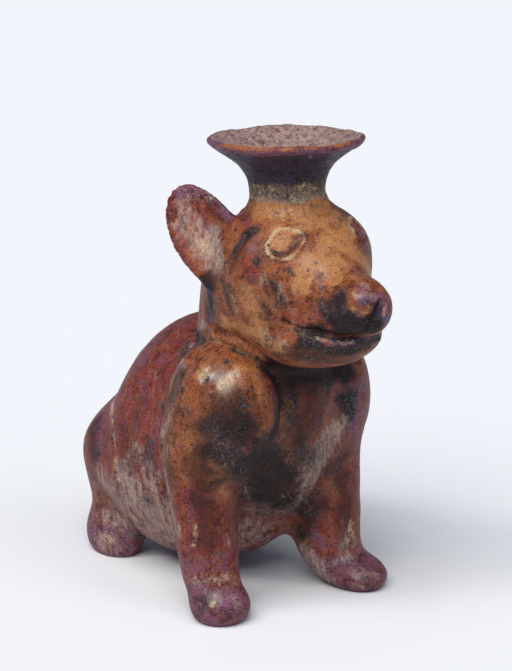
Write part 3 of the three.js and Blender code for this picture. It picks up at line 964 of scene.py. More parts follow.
# The backs and rims of the ears, and the hollows behind them
EARS = (
    *dabs(
        Coat.OCHRE,
        (0.7, 7, (46, -41, 191), (40, -43, 174)), (1, 8.1, (-44, 2, 221), (-41, -12, 208)),
        (0.5, 5.8, (-45, 10, 235), (-43, 3, 227)),
    ),
    *dabs(
        Coat.RED,
        (0.9, 10.4, (51, 10, 235), (49, -1, 222), (47, -15, 211)),
        (0.55, 4.6, (-24, -24, 235), (-33, -44, 225), (-35, -53, 211)),
        (1, 11.6, (-45, 10, 235), (-42, -1, 222), (-41, -15, 211)),
        (1, 4.1, (-44, 13, 243), (-39, 3, 244), (-35, -7, 240), (-31, -19, 233)),
        (1, 2.6, (-49, 18, 235), (-50, 15, 225), (-50, 7, 213), (-46, -4, 202)),
    ),
    *dabs(
        Coat.PLUM,
        (0.8, 3.5, (50, 13, 242), (46, 3, 244), (42, -7, 241), (38, -17, 235)),
        (0.95, 4.1, (-44, 13, 242), (-39, 3, 244), (-35, -7, 241), (-31, -17, 235)),
        (0.9, 1, (-51, 15, 222), (-49, 4, 209), (-45, -7, 199)),
    ),
    *dabs(
        Coat.DUSK_AND_BLUE_SHADE,
        (0.7, 5.8, (48, -27, 194), (45, -27, 181)), (0.9, 5.2, (-43, -14, 192), (-38, -8, 175)),
    ),
    *dabs(
        Coat.ASH,
        (0.9, 7, (51, 6, 230), (49, -2, 219), (48, -14, 209)),
        (0.5, 2.3, (-43, -33, 210), (-42, -37, 198), (-38, -38, 183)),
        (0.62, 8.7, (-45, 8, 231), (-43, -1, 218), (-41, -13, 208)),
        (1, 5.2, (-38, -11, 221), (-43, -26, 210)),
    ),
    *dabs(
        Coat.SOOT_AND_SHADE,
        (0.7, 2.9, (39, -39, 227), (45, -40, 220)), (1, 3.5, (-32, -38, 228), (-29, -40, 230)),
        (0.8, 1.7, (-35, -38, 225), (-39, -37, 220)), (0.9, 3.5, (-43, -14, 195), (-39, -11, 181)),
        (0.7, 2.3, (-43, -28, 200), (-41, -31, 189), (-39, -32, 181)),
        (1, 2.9, (-33, -39, 227), (-29, -39, 230)),
        (0.65, 1.7, (-35, -38, 225), (-39, -37, 220), (-42, -34, 212)),
        (0.35, 1.7, (-46, 12, 233), (-45, 3, 221), (-43, -6, 209)),
    ),
    *dabs(
        Coat.SMOKE,
        (1, 7, (-43, -15, 195), (-38, -7, 176)),
        (0.6, 4.1, (-32, -37, 228), (-38, -40, 220), (-43, -35, 207)),
        (0.5, 2.3, (-36, -8, 233), (-33, -22, 229)),
    ),
    *dabs(
        Coat.PALE,
        (0.55, 1.4, (-42, -35, 198), (-40, -36, 188)),
        (0.3, 7.5, (-44, 6, 230), (-42, -2, 219), (-41, -14, 209)),
        (0.35, 3.5, (-42, -3, 218), (-41, -13, 210)),
        (0.36, 3.5, (-43, 11, 242), (-38, 1, 242), (-35, -8, 239)),
    ),
)

# The forehead, the eyes, the cheeks, the throat and the neck
FACE = (
    *dabs(
        Coat.OCHRE,
        (0.6, 14, (24, 0, 158), (10, 24, 164)), (0.9, 7.5, (26, -34, 240), (16, -47, 239)),
        (0.8, 7, (11, -71, 221), (27, -73, 204)), (0.7, 7.5, (-20, -57, 227)),
        (0.7, 7, (-39, -47, 197), (-33, -53, 181)),
        (0.75, 4.6, (-37, -23, 174), (-33, -54, 170), (-29, -71, 170)),
        (1, 9.3, (-20, -34, 240), (-10, -47, 239), (3, -56, 234)),
        (0.8, 7, (20, -49, 235), (18, -62, 227)),
        (0.9, 7, (6, -65, 227), (-5, -71, 221), (-20, -73, 204)), (0.7, 7, (3, -79, 215), (-8, -87, 209)),
        (0.7, 7, (-21, -57, 226)),
    ),
    *dabs(
        Coat.RED,
        (0.7, 5.2, (21, -42, 240), (35, -44, 229)), (0.7, 2.9, (-28, -64, 188), (-22, -75, 184)),
        (0.5, 7, (-21, -74, 196), (-16, -86, 187)), (0.6, 4.6, (-38, -46, 214), (-37, -51, 207)),
    ),
    *dabs(
        Coat.PLUM,
        (0.85, 3.5, (30, -60, 221), (31, -63, 216)), (0.5, 4.1, (27, -47, 232), (27, -61, 223)),
    ),
    *dabs(
        Coat.DUSK_AND_BLUE_SHADE,
        (0.5, 2.3, (-35, -51, 216)),
    ),
    *dabs(
        Coat.ASH,
        (0.6, 3.5, (39, -53, 183), (35, -66, 179)), (0.5, 2.3, (-27, -65, 203), (-26, -66, 195)),
        (0.45, 2.9, (-34, -56, 209), (-33, -58, 202)), (0.5, 2.9, (-33, -54, 174), (-29, -71, 172)),
        (0.6, 2.3, (-29, -62, 202), (-27, -64, 194)),
    ),
    *dabs(
        Coat.SOOT_AND_SHADE,
        (0.7, 3.5, (36, -61, 203), (33, -65, 191)), (0.6, 2.9, (-35, -51, 215)),
        (0.6, 1.7, (-32, -50, 221)), (0.6, 2.9, (-33, -54, 191), (-31, -57, 184)),
        (0.85, 1.5, (2, -61, 230)), (0.6, 1.3, (-12, -81, 208)), (0.6, 1.3, (4, -50, 241)),
        (0.8, 1.3, (-31, -60, 206), (-29, -62, 201)), (0.8, 1.2, (-27, -64, 198), (-26, -66, 193)),
        (0.7, 1.4, (-29, -61, 193), (-28, -63, 189)), (0.7, 1, (-33, -57, 200), (-31, -59, 196)),
        (0.45, 3.5, (-30, -62, 202), (-27, -64, 192)), (0.7, 1.2, (-23, -66, 213), (-22, -68, 210)),
        (0.6, 1.2, (-34, -51, 187), (-33, -53, 183)), (0.6, 1.4, (-39, -48, 207), (-38, -50, 203)),
        # The next dab darkens the underside of the chin: partly soot, partly painted shade under the chin.
        (0.5, 4.6, (-32, -61, 169), (-24, -78, 165), (-6, -88, 163)),
        (0.6, 2.3, (-34, -51, 217), (-35, -52, 214)), (0.8, 1, (-10, -73, 216)),
        (0.8, 1, (-10, -79, 211)), (0.7, 0.9, (2, -70, 222)), (0.7, 0.9, (-11, -72, 216)),
        (0.7, 0.9, (-15, -73, 212)), (0.7, 0.9, (0, -84, 213)), (0.7, 0.9, (-38, -46, 192)),
        (0.6, 0.9, (-34, -56, 202)), (0.7, 1.3, *EYE_UNDER),
    ),
    *dabs(
        Coat.SMOKE,
        # The next dab is painted shade under the chin.
        (0.7, 4.6, (-28, -74, 169), (-14, -88, 167), (-5, -98, 169)),
        (0.5, 3.5, (-30, -61, 203), (-27, -65, 191)), (0.4, 5.8, (-33, -53, 183), (-29, -66, 179)),
    ),
    *dabs(
        Coat.SHEEN,
        (0.3, 9.3, (-3, -82, 213), (-6, -69, 222)), (0.3, 8.1, (-10, -47, 241)),
    ),
    *dabs(
        Coat.PALE,
        (0.5, 0.9, (-29, -63, 200), (-28, -63, 195)), (0.3, 2.9, (31, -43, 232), (23, -61, 226)),
        (0.85, 1.4, *EYE_RING),
        (0.7, 1.8, (24, -61, 225), (23, -55, 229), (29, -50, 231), (36, -50, 226)),
    ),
)

# The end of the nose, the nostrils and the mouth
NOSE = (
    *dabs(
        Coat.OCHRE,
        (0.6, 4.1, (0, -93, 212), (-1, -104, 210)),
        (0.7, 1.3, (-9, -107, 198), (-8, -111, 197), (-6, -114, 197), (-3, -115, 199), (0, -115, 203)),
    ),
    *dabs(
        Coat.RED,
        (0.4, 4.6, (4, -86, 213), (1, -101, 211)), (0.4, 2.3, (5, -118, 198), (6, -117, 192)),
        (0.5, 3.5, (-7, -99, 207), (-1, -104, 210)), (0.8, 2.3, (-6, -112, 201), (-4, -113, 203)),
        (0.9, 1.2, (-9, -109, 196)), (0.4, 2.3, (5, -118, 199)),
    ),
    *dabs(
        Coat.PLUM,
        (0.8, 5.2, (-11, -100, 187), (-7, -110, 189)), (0.9, 3.5, (12, -101, 176)),
        (0.8, 2.3, (-7, -110, 202), (-4, -113, 203)), (1, 5.2, (4, -115, 204), (5, -118, 192)),
        (0.6, 4.1, (-3, -106, 208), (0, -113, 206)), (0.5, 5.2, (-11, -103, 192), (-7, -110, 189)),
    ),
    *dabs(
        Coat.DUSK_AND_BLUE_SHADE,
        (0.8, 4.6, (19, -96, 201), (19, -100, 194)), (0.7, 4.6, (-12, -96, 201), (-13, -100, 194)),
        (0.8, 2.9, (-13, -92, 177), (-6, -101, 177), (5, -105, 178)), (0.8, 2.3, (6, -117, 192)),
        (1, 4.1, (-11, -103, 191), (-8, -110, 190), (-4, -115, 192)),
        (0.9, 2.3, (-1, -117, 197), (-2, -116, 190)), (0.5, 3.5, (-20, -83, 172), (-8, -98, 172)),
    ),
    *dabs(
        Coat.ASH,
        (0.45, 2.9, (-12, -95, 201), (-12, -101, 195)),
        (0.8, 1.6, (-25, -70, 183), (-21, -79, 179), (-15, -89, 176), (-8, -99, 176), (-1, -106, 180)),
    ),
    *dabs(
        Coat.SOOT_AND_SHADE,
        (0.8, 4.1, (18, -96, 202), (20, -95, 190)), (0.8, 3.5, (21, -88, 171), (14, -98, 171)),
        (0.8, 4.3, (-12, -96, 202), (-13, -98, 197), (-14, -95, 190)),
        (0.8, 4.6, (-11, -98, 186), (-9, -106, 189), (-5, -113, 189)),
        (0.6, 4.1, (-15, -88, 197), (-15, -90, 190)),
        (1, 2.3, (-10, -107, 193), (-7, -111, 192), (-5, -115, 194)),
        (1, 1.4, (2, -116, 203), (-3, -117, 196), (-4, -113, 188)),
        (1, 2, (-24, -74, 181), (-17, -85, 179), (-10, -98, 179), (1, -113, 185)),
        (1, 2.1, (-16, -85, 181), (-9, -100, 182), (-1, -115, 187)),
        (0.9, 2.3, (-13, -92, 178), (-6, -101, 178), (2, -108, 180), (13, -100, 177)),
        (1, 4.3, (-22, -80, 174), (-15, -88, 171), (-8, -98, 171), (2, -104, 175)),
        (0.9, 3.5, (-5, -114, 191), (1, -115, 187)), (0.45, 1.7, (-6, -112, 202), (-3, -113, 204)),
        (1, 2.9, (-10, -106, 194), (-8, -110, 193), (-5, -114, 193)),
    ),
    *dabs(
        Coat.SMOKE,
        (0.9, 5.2, (-12, -97, 185), (-9, -106, 187), (-4, -113, 188)),
        (1, 3.5, (-18, -82, 181), (-9, -100, 183), (-1, -115, 187)),
        (0.7, 5.8, (-12, -97, 200), (-12, -101, 192)), (0.9, 3.5, (-1, -117, 200), (-4, -115, 192)),
        (0.6, 4.1, (-3, -116, 194), (1, -116, 187)),
    ),
    *dabs(
        Coat.SHEEN,
        (0.7, 2.9, (-6, -106, 206)),
    ),
    *dabs(
        Coat.PALE,
        # The first dab on the next line, under the sheen on the top of the nose, is a painted highlight.
        (0.5, 1.5, (-7, -104, 206), (-7, -107, 204)), (0.4, 2.9, (-2, -105, 210), (0, -112, 207)),
        # The first dab on the next line is a painted highlight on the left lobe of the nose.
        (0.48, 1.4, (5, -117, 200), (3, -118, 195)), (0.5, 0.8, (-10, -107, 199), (-9, -109, 198)),
        (0.5, 0.8, (-7, -112, 196), (-5, -115, 197)),
        (0.5, 0.9, (-17, -85, 177), (-13, -92, 176), (-6, -101, 176)),
    ),
)

# The collar, the chest and the belly between the front legs
CHEST = (
    *dabs(
        Coat.OCHRE,
        (0.6, 5.8, (-31, -41, 148), (-30, -49, 136)), (0.5, 3.5, (-32, -52, 116)),
        (1, 2.6, (-37, -11, 161), (-31, -29, 159), (-24, -41, 155)),
    ),
    *dabs(
        Coat.RED,
        (0.8, 4.6, (-20, -41, 144), (-18, -46, 132)), (0.6, 5.2, (6, -46, 126), (10, -46, 110)),
        (0.7, 5.2, (38, -39, 131), (46, -39, 120)), (0.9, 8.7, (-1, -46, 132), (6, -46, 114)),
        (0.5, 5.8, (-12, -45, 111), (-1, -44, 97)),
    ),
    *dabs(
        Coat.PLUM,
        (0.7, 5.8, (34, -40, 124), (40, -38, 102)),
    ),
    *dabs(
        Coat.DUSK_AND_BLUE_SHADE,
        (0.4, 9.3, (11, -42, 90), (5, -28, 64)), (0.5, 7, (36, -40, 120), (40, -39, 106)),
        (0.45, 10.4, (-53, -44, 115), (-26, -43, 94)),
    ),
    *dabs(
        Coat.ASH,
        (0.8, 4.1, (38, -40, 111), (29, -38, 99), (18, -39, 88)),
        (0.75, 4.6, (16, -39, 84), (10, -31, 67), (7, -19, 52)),
        (0.45, 5.8, (-18, -27, 74), (-17, -16, 58)),
        (0.75, 8.7, (29, -39, 103), (11, -42, 90), (5, -28, 64)),
        (0.6, 3.5, (36, -40, 110), (26, -38, 95), (12, -33, 70)), (0.6, 5.8, (9, -37, 77), (8, -26, 60)),
        (0.6, 5.2, (23, -37, 82), (16, -33, 69)), (0.4, 7, (-49, -42, 98), (-24, -28, 76)),
    ),
    *dabs(
        Coat.SOOT_AND_SHADE,
        (0.8, 4.6, (32, -40, 118), (39, -40, 111)), (0.6, 2.3, (34, -37, 135)),
        (0.7, 2.9, (-22, -38, 149), (-7, -43, 144)), (0.6, 4.6, (27, -35, 76), (38, -35, 83)),
        # The next two dabs darken the top of the chest under the jaw: partly soot, partly painted shade
        # under the jaw.
        (1, 4.1, (-22, -47, 155), (-1, -45, 144), (19, -41, 138), (37, -37, 136)),
        (1, 5.2, (-7, -44, 145), (16, -43, 138), (35, -38, 134)),
        (0.7, 1.7, (-37, -9, 160), (-33, -28, 157), (-22, -38, 152)),
        (0.9, 3.5, (-35, -51, 109), (-22, -50, 114), (-15, -46, 127)),
        (0.85, 9.9, (-22, -26, 72), (-2, -24, 60)), (0.8, 7, (-24, -47, 101), (-5, -38, 81)),
        (0.5, 5.2, (-2, -45, 103), (7, -42, 87)), (0.6, 5.2, (-10, -44, 135), (-7, -45, 116)),
        (0.5, 9.3, (-45, -41, 93), (-17, -30, 78)),
        (0.8, 2.3, (-20, -39, 149), (-15, -43, 138), (-15, -46, 125)),
        (0.6, 2.9, (33, -40, 117), (38, -39, 107)), (0.8, 1.2, (-33, -42, 148)),
        (0.7, 2.9, (-7, -45, 130), (-4, -46, 125)), (0.8, 3.5, (31, -40, 120), (39, -40, 123)),
    ),
    *dabs(
        Coat.SMOKE,
        # The next dab is painted shade under the jaw.
        (1, 7, (-17, -45, 151), (3, -44, 143), (36, -37, 135)),
        (0.9, 15.1, (-26, -43, 94), (-3, -30, 67)), (0.7, 10.4, (-1, -46, 108), (11, -46, 125)),
        # The next two dabs are painted shade under the jaw.
        (0.8, 4.6, (-3, -44, 140), (23, -40, 133)), (0.55, 8.1, (-13, -43, 138), (-1, -45, 133)),
        (0.8, 2.9, (-19, -40, 149), (-14, -44, 136), (-16, -47, 123), (-23, -50, 111)),
        (0.3, 5.2, (34, -40, 122), (40, -39, 106)),
    ),
    *dabs(
        Coat.SHEEN,
        (0.5, 5.8, (36, -37, 136)),
    ),
    *dabs(
        Coat.PALE,
        (0.5, 1.7, (-30, -32, 78), (-20, -20, 64)), (0.5, 1.3, (36, -39, 109), (29, -38, 97)),
        (0.45, 1.3, (16, -39, 84), (11, -32, 69)), (0.45, 1.2, (31, -39, 107), (17, -41, 92)),
        (0.42, 1.2, (13, -38, 80), (7, -29, 65)),
    ),
)

# The shoulders and the valleys behind them
SHOULDERS = (
    *dabs(
        Coat.OCHRE,
        (0.5, 7, (-50, -42, 138), (-52, -42, 133)), (0.8, 4.6, (-53, -35, 86), (-47, -34, 75)),
        (0.4, 5.8, (-64, -28, 110), (-62, -29, 92)), (0.5, 3.5, (-66, -12, 118), (-69, -16, 102)),
        # The next two dabs lie on the crests of the right shoulder, under the sheen: painted highlights.
        (0.9, 5.2, (-54, -26, 148)), (0.8, 4.6, (-38, -39, 149), (-49, -40, 142)),
    ),
    *dabs(
        Coat.PLUM,
        (0.6, 4.6, (49, -36, 103), (46, -33, 87)),
    ),
    *dabs(
        Coat.ASH,
        (0.6, 4.1, (-63, -26, 127)), (0.5, 4.1, (-54, -28, 146)),
        (0.45, 3.5, (-41, -40, 148), (-50, -39, 142)),
        (0.9, 2.6, (-63, -7, 129), (-64, -2, 118), (-68, -5, 104)),
        (0.8, 3.5, (-69, -7, 99), (-66, -5, 80), (-65, -10, 62), (-65, -16, 50)),
        (0.5, 7, (-64, -4, 121), (-69, -10, 100)),
    ),
    *dabs(
        Coat.SOOT_AND_SHADE,
        (0.6, 3.5, (64, -33, 93), (60, -33, 80)), (0.75, 2.9, (-42, -48, 134)), (0.9, 2, (-62, -17, 136)),
        (0.5, 1.7, (-42, -32, 154)), (0.5, 2.9, (-54, -29, 146)), (0.5, 2.3, (-41, -41, 147)),
        (0.75, 6.4, (-58, -38, 121), (-52, -45, 119), (-43, -51, 123)),
        (0.5, 12.8, (-50, -46, 125), (-45, -49, 113)),
        (0.85, 5.8, (-55, -39, 104), (-46, -44, 98), (-28, -46, 98)), (0.8, 2.3, (-58, -10, 143)),
        (0.85, 2.9, (-63, -26, 126)), (0.7, 2.3, (-53, -34, 83)), (0.9, 1.3, (-53, -26, 148)),
        (0.9, 1.3, (-54, -30, 145)), (0.9, 1.4, (-41, -40, 148)), (0.8, 1.2, (-42, -32, 154)),
        (0.8, 1.2, (-54, -21, 149)), (0.7, 2.3, (-43, -48, 134), (-41, -49, 132)),
    ),
    *dabs(
        Coat.SMOKE,
        (0.75, 14.5, (-52, -42, 133), (-43, -51, 120)), (0.35, 8.1, (-62, -31, 117), (-61, -33, 105)),
        (0.85, 9.3, (-62, -31, 100), (-56, -32, 82)),
        (0.75, 5.8, (-57, -7, 143), (-62, -8, 134), (-64, -2, 118)),
        (0.55, 7, (-68, -9, 108), (-67, -12, 82)),
    ),
    *dabs(
        Coat.SHEEN,
        (1, 5.8, (-53, -28, 147)), (1, 5.2, (-38, -40, 148), (-49, -40, 142)),
    ),
    *dabs(
        Coat.PALE,
        # The next two dabs are painted highlights on the crests of the right shoulder.
        (0.6, 2.9, (-54, -26, 147)), (0.6, 2.3, (-39, -39, 149), (-51, -38, 142)),
        (0.5, 1.2, (-53, -7, 149)), (0.5, 1, (-63, -6, 125), (-66, -4, 111)),
        # The next two dabs are broader, fainter painted highlights on the same crests.
        (0.26, 4.1, (-54, -27, 147)), (0.26, 3.5, (-38, -40, 149), (-49, -40, 142)),
    ),
)

# The back, the flanks and the thighs
FLANKS = (
    *dabs(
        Coat.OCHRE,
        (0.5, 2.9, (-43, 41, 128), (-50, 36, 114), (-54, 31, 97)),
        (0.5, 5.8, (-54, 32, 53), (-45, 29, 36)),
    ),
    *dabs(
        Coat.RED,
        (1, 12.8, (-23, 41, 146), (-40, 42, 131), (-51, 40, 112), (-56, 33, 91)),
        (0.9, 8.1, (-52, 62, 110), (-59, 54, 92), (-61, 47, 78)),
        (0.8, 9.3, (-54, 91, 86), (-63, 84, 65), (-60, 79, 53)),
    ),
    *dabs(
        Coat.PLUM,
        (0.6, 12, (42, 92, 84), (22, 108, 96)), (0.7, 12, (34, 66, 140), (46, 58, 122)),
        (0.6, 10, (-24, 84, 128), (-30, 70, 138)),
        (0.6, 3.5, (-11, 56, 151), (-35, 61, 135), (-46, 75, 111)),
        (0.85, 3.5, (-52, 89, 90), (-60, 80, 78), (-62, 79, 66)),
        (0.7, 5.2, (-49, 97, 89), (-60, 85, 76), (-62, 82, 64)),
    ),
    *dabs(
        Coat.ASH,
        (0.7, 4, (62, 6, 60), (66, 30, 74), (62, 60, 80)), (0.7, 9, (0, 102, 62), (10, 104, 46)),
        (0.8, 2.3, (32, 32, 143), (61, -5, 146), (68, -9, 136)),
        (0.9, 9.3, (-61, 48, 64), (-54, 37, 48), (-43, 31, 32)), (0.65, 7, (-59, 39, 83), (-56, 29, 71)),
        (0.5, 4.6, (-56, 29, 74), (-52, 27, 55)),
        (0.7, 2, (-46, 85, 99), (-61, 60, 81), (-62, 55, 64), (-58, 55, 47)),
        (0.95, 2.6, (-37, -1, 168), (-26, 32, 143), (-55, -5, 146), (-61, -9, 136)),
        (0.55, 6.4, (-30, 31, 141), (-59, -6, 139)),
        (0.8, 1.9, (-45, 88, 98), (-59, 65, 89), (-62, 57, 73), (-60, 55, 53)),
        (0.6, 7, (-61, 74, 55), (-57, 67, 43)),
    ),
    *dabs(
        Coat.SOOT_AND_SHADE,
        (0.7, 6, (62, 28, 112), (64, 44, 96)), (0.6, 9, (50, 84, 62), (58, 72, 78)),
        (0.5, 5, (-12, 106, 98), (0, 110, 82)), (0.6, 4, (14, 60, 154), (20, 48, 158)),
        (0.6, 4.1, (57, 37, 113), (61, 36, 102)), (0.8, 3.5, (-51, 22, 113)), (0.6, 2, (-41, 54, 130)),
        (0.6, 1.7, (-32, 64, 137)), (0.55, 5.2, (-54, 34, 53)), (0.5, 4.1, (-55, 30, 89), (-56, 29, 74)),
        (0.6, 2.9, (-61, 0, 127), (-60, 6, 116)), (0.5, 2.9, (-26, 35, 143), (-35, 30, 136)),
        (0.9, 3.5, (-31, 16, 156), (-38, -2, 156)), (0.4, 2.3, (-48, 2, 149), (-44, 36, 125)),
        (0.35, 2.9, (-52, 45, 111), (-59, 42, 89)), (0.4, 2.3, (-58, 68, 91), (-61, 71, 77)),
    ),
    *dabs(
        Coat.SMOKE,
        (0.6, 20, (62, 4, 100), (64, 30, 82)), (0.75, 5.2, (-35, 7, 158), (-29, 29, 141)),
        (0.5, 8.1, (-59, 55, 94), (-60, 44, 76)), (0.7, 7, (-56, 93, 83), (-62, 82, 68)),
    ),
    *dabs(
        Coat.SHEEN,
        (0.3, 11.6, (-46, 44, 123), (-55, 40, 101)),
    ),
    *dabs(
        Coat.PALE,
        (0.5, 1.3, (-47, 85, 98), (-59, 65, 89), (-62, 57, 73), (-60, 55, 53)),
        (0.4, 1.4, (-22, 50, 148), (-32, 41, 139)), (0.4, 1.2, (-43, 41, 128), (-50, 36, 115)),
    ),
)

# The legs and the paws
LEGS = (
    *dabs(
        Coat.OCHRE,
        (0.8, 4.1, (29, -34, 67), (33, -35, 56)), (0.6, 4.6, (-48, -46, 17)),
        (0.35, 5.8, (-53, 84, 15), (-48, 77, 10)), (0.5, 2.9, (-58, -34, 28), (-47, -38, 27)),
    ),
    *dabs(
        Coat.RED,
        (0.9, 8.1, (-63, -24, 73), (-63, -26, 55), (-60, -31, 41)),
        (0.8, 7, (-47, -34, 64), (-46, -36, 43)), (0.8, 8.1, (31, -35, 47), (43, -34, 54), (47, -32, 71)),
        (0.7, 7, (24, -30, 41), (28, -34, 23)), (0.8, 5.2, (-44, -44, 18), (-44, -49, 12)),
        (0.6, 3.5, (-64, -27, 9)),
    ),
    *dabs(
        Coat.PLUM,
        (0.9, 8.7, (-63, -31, 17), (-59, -45, 11), (-47, -48, 14)),
        (0.5, 4.1, (-64, -21, 36), (-47, -37, 34)), (0.9, 7, (35, -39, 12), (47, -50, 11)),
        (0.9, 7.5, (-56, 91, 10), (-44, 75, 9)), (0.5, 3.5, (50, -30, 70), (52, -30, 38)),
    ),
    *dabs(
        Coat.DUSK_AND_BLUE_SHADE,
        (0.5, 8.1, (-8, -23, 61), (10, -21, 53)),
    ),
    *dabs(
        Coat.ASH,
        (0.5, 4.1, (-53, 92, 25), (-47, 79, 23)),
        (0.6, 2.9, (-63, -27, 23), (-56, -36, 27), (-40, -38, 24)),
        (0.5, 3.5, (-48, -46, 17), (-45, -48, 14)), (0.7, 4.1, (20, -23, 24), (27, -27, 10)),
        (0.6, 4.1, (38, -36, 41), (44, -36, 27)), (0.5, 3.5, (31, -35, 18), (40, -38, 19)),
        (0.6, 2.9, (-59, -42, 15)), (0.5, 3.5, (-45, -36, 49)), (0.5, 2.9, (-61, -28, 53)),
        (0.5, 7, (-55, 89, 10), (-50, 79, 7)), (0.5, 4.6, (40, -44, 13), (50, -50, 11)),
        (0.9, 5.8, (20, -18, 23), (26, -25, 11)), (0.75, 8.7, (-6, -13, 49), (2, -21, 56), (11, -25, 58)),
        (0.6, 8.1, (-11, -4, 39), (0, -4, 35)), (0.7, 5.2, (21, -23, 20), (27, -25, 10), (31, -30, 4)),
        (0.5, 4.1, (37, -37, 26), (41, -38, 18)),
    ),
    *dabs(
        Coat.SOOT_AND_SHADE,
        (0.6, 4.1, (22, -30, 52), (18, -18, 32)), (0.7, 2.9, (-51, 61, 31), (-37, 72, 15)),
        (0.6, 2.9, (-63, -32, 15), (-58, -43, 15)), (0.5, 2.9, (43, -50, 9), (46, -51, 4)),
        (0.5, 2.9, (-61, -38, 16), (-64, -37, 10)), (0.6, 3.5, (15, -22, 49), (16, -27, 58)),
    ),
    *dabs(
        Coat.SMOKE,
        (0.6, 7, (22, -30, 57), (18, -19, 36)), (0.7, 8.1, (-56, -32, 68), (-56, -33, 50)),
        (0.7, 7.5, (35, -35, 70), (38, -35, 52)), (0.4, 5.8, (37, -36, 40), (40, -37, 28)),
        (0.5, 8.1, (-6, -13, 49), (7, -19, 52)),
    ),
    *dabs(
        Coat.SHEEN,
        (0.35, 4.6, (-57, -42, 17)),
    ),
    *dabs(
        Coat.PALE,
        (0.5, 1.7, (66, -30, 59), (63, -33, 50)), (0.7, 2.3, (-59, -42, 15)),
        (0.6, 1.7, (-61, -29, 59), (-62, -27, 46)), (0.6, 2.3, (41, -36, 40), (39, -37, 31)),
        (0.45, 1.7, (-59, -36, 20), (-56, -41, 18)), (0.45, 1.7, (-45, -48, 14), (-50, -49, 11)),
        (0.5, 2, (-55, 89, 13), (-52, 81, 12)), (0.5, 1.7, (37, -45, 8), (41, -49, 4)),
        (0.35, 1.7, (49, -47, 13), (52, -52, 9)), (0.45, 2.3, (21, -24, 21), (25, -27, 14)),
    ),
)

STAINS_AND_PAINTED_LIGHT = StainsAndPaintedLight(WASHES, (*CROWN, *EARS, *FACE, *NOSE, *CHEST, *SHOULDERS, *FLANKS, *LEGS))


# The jar


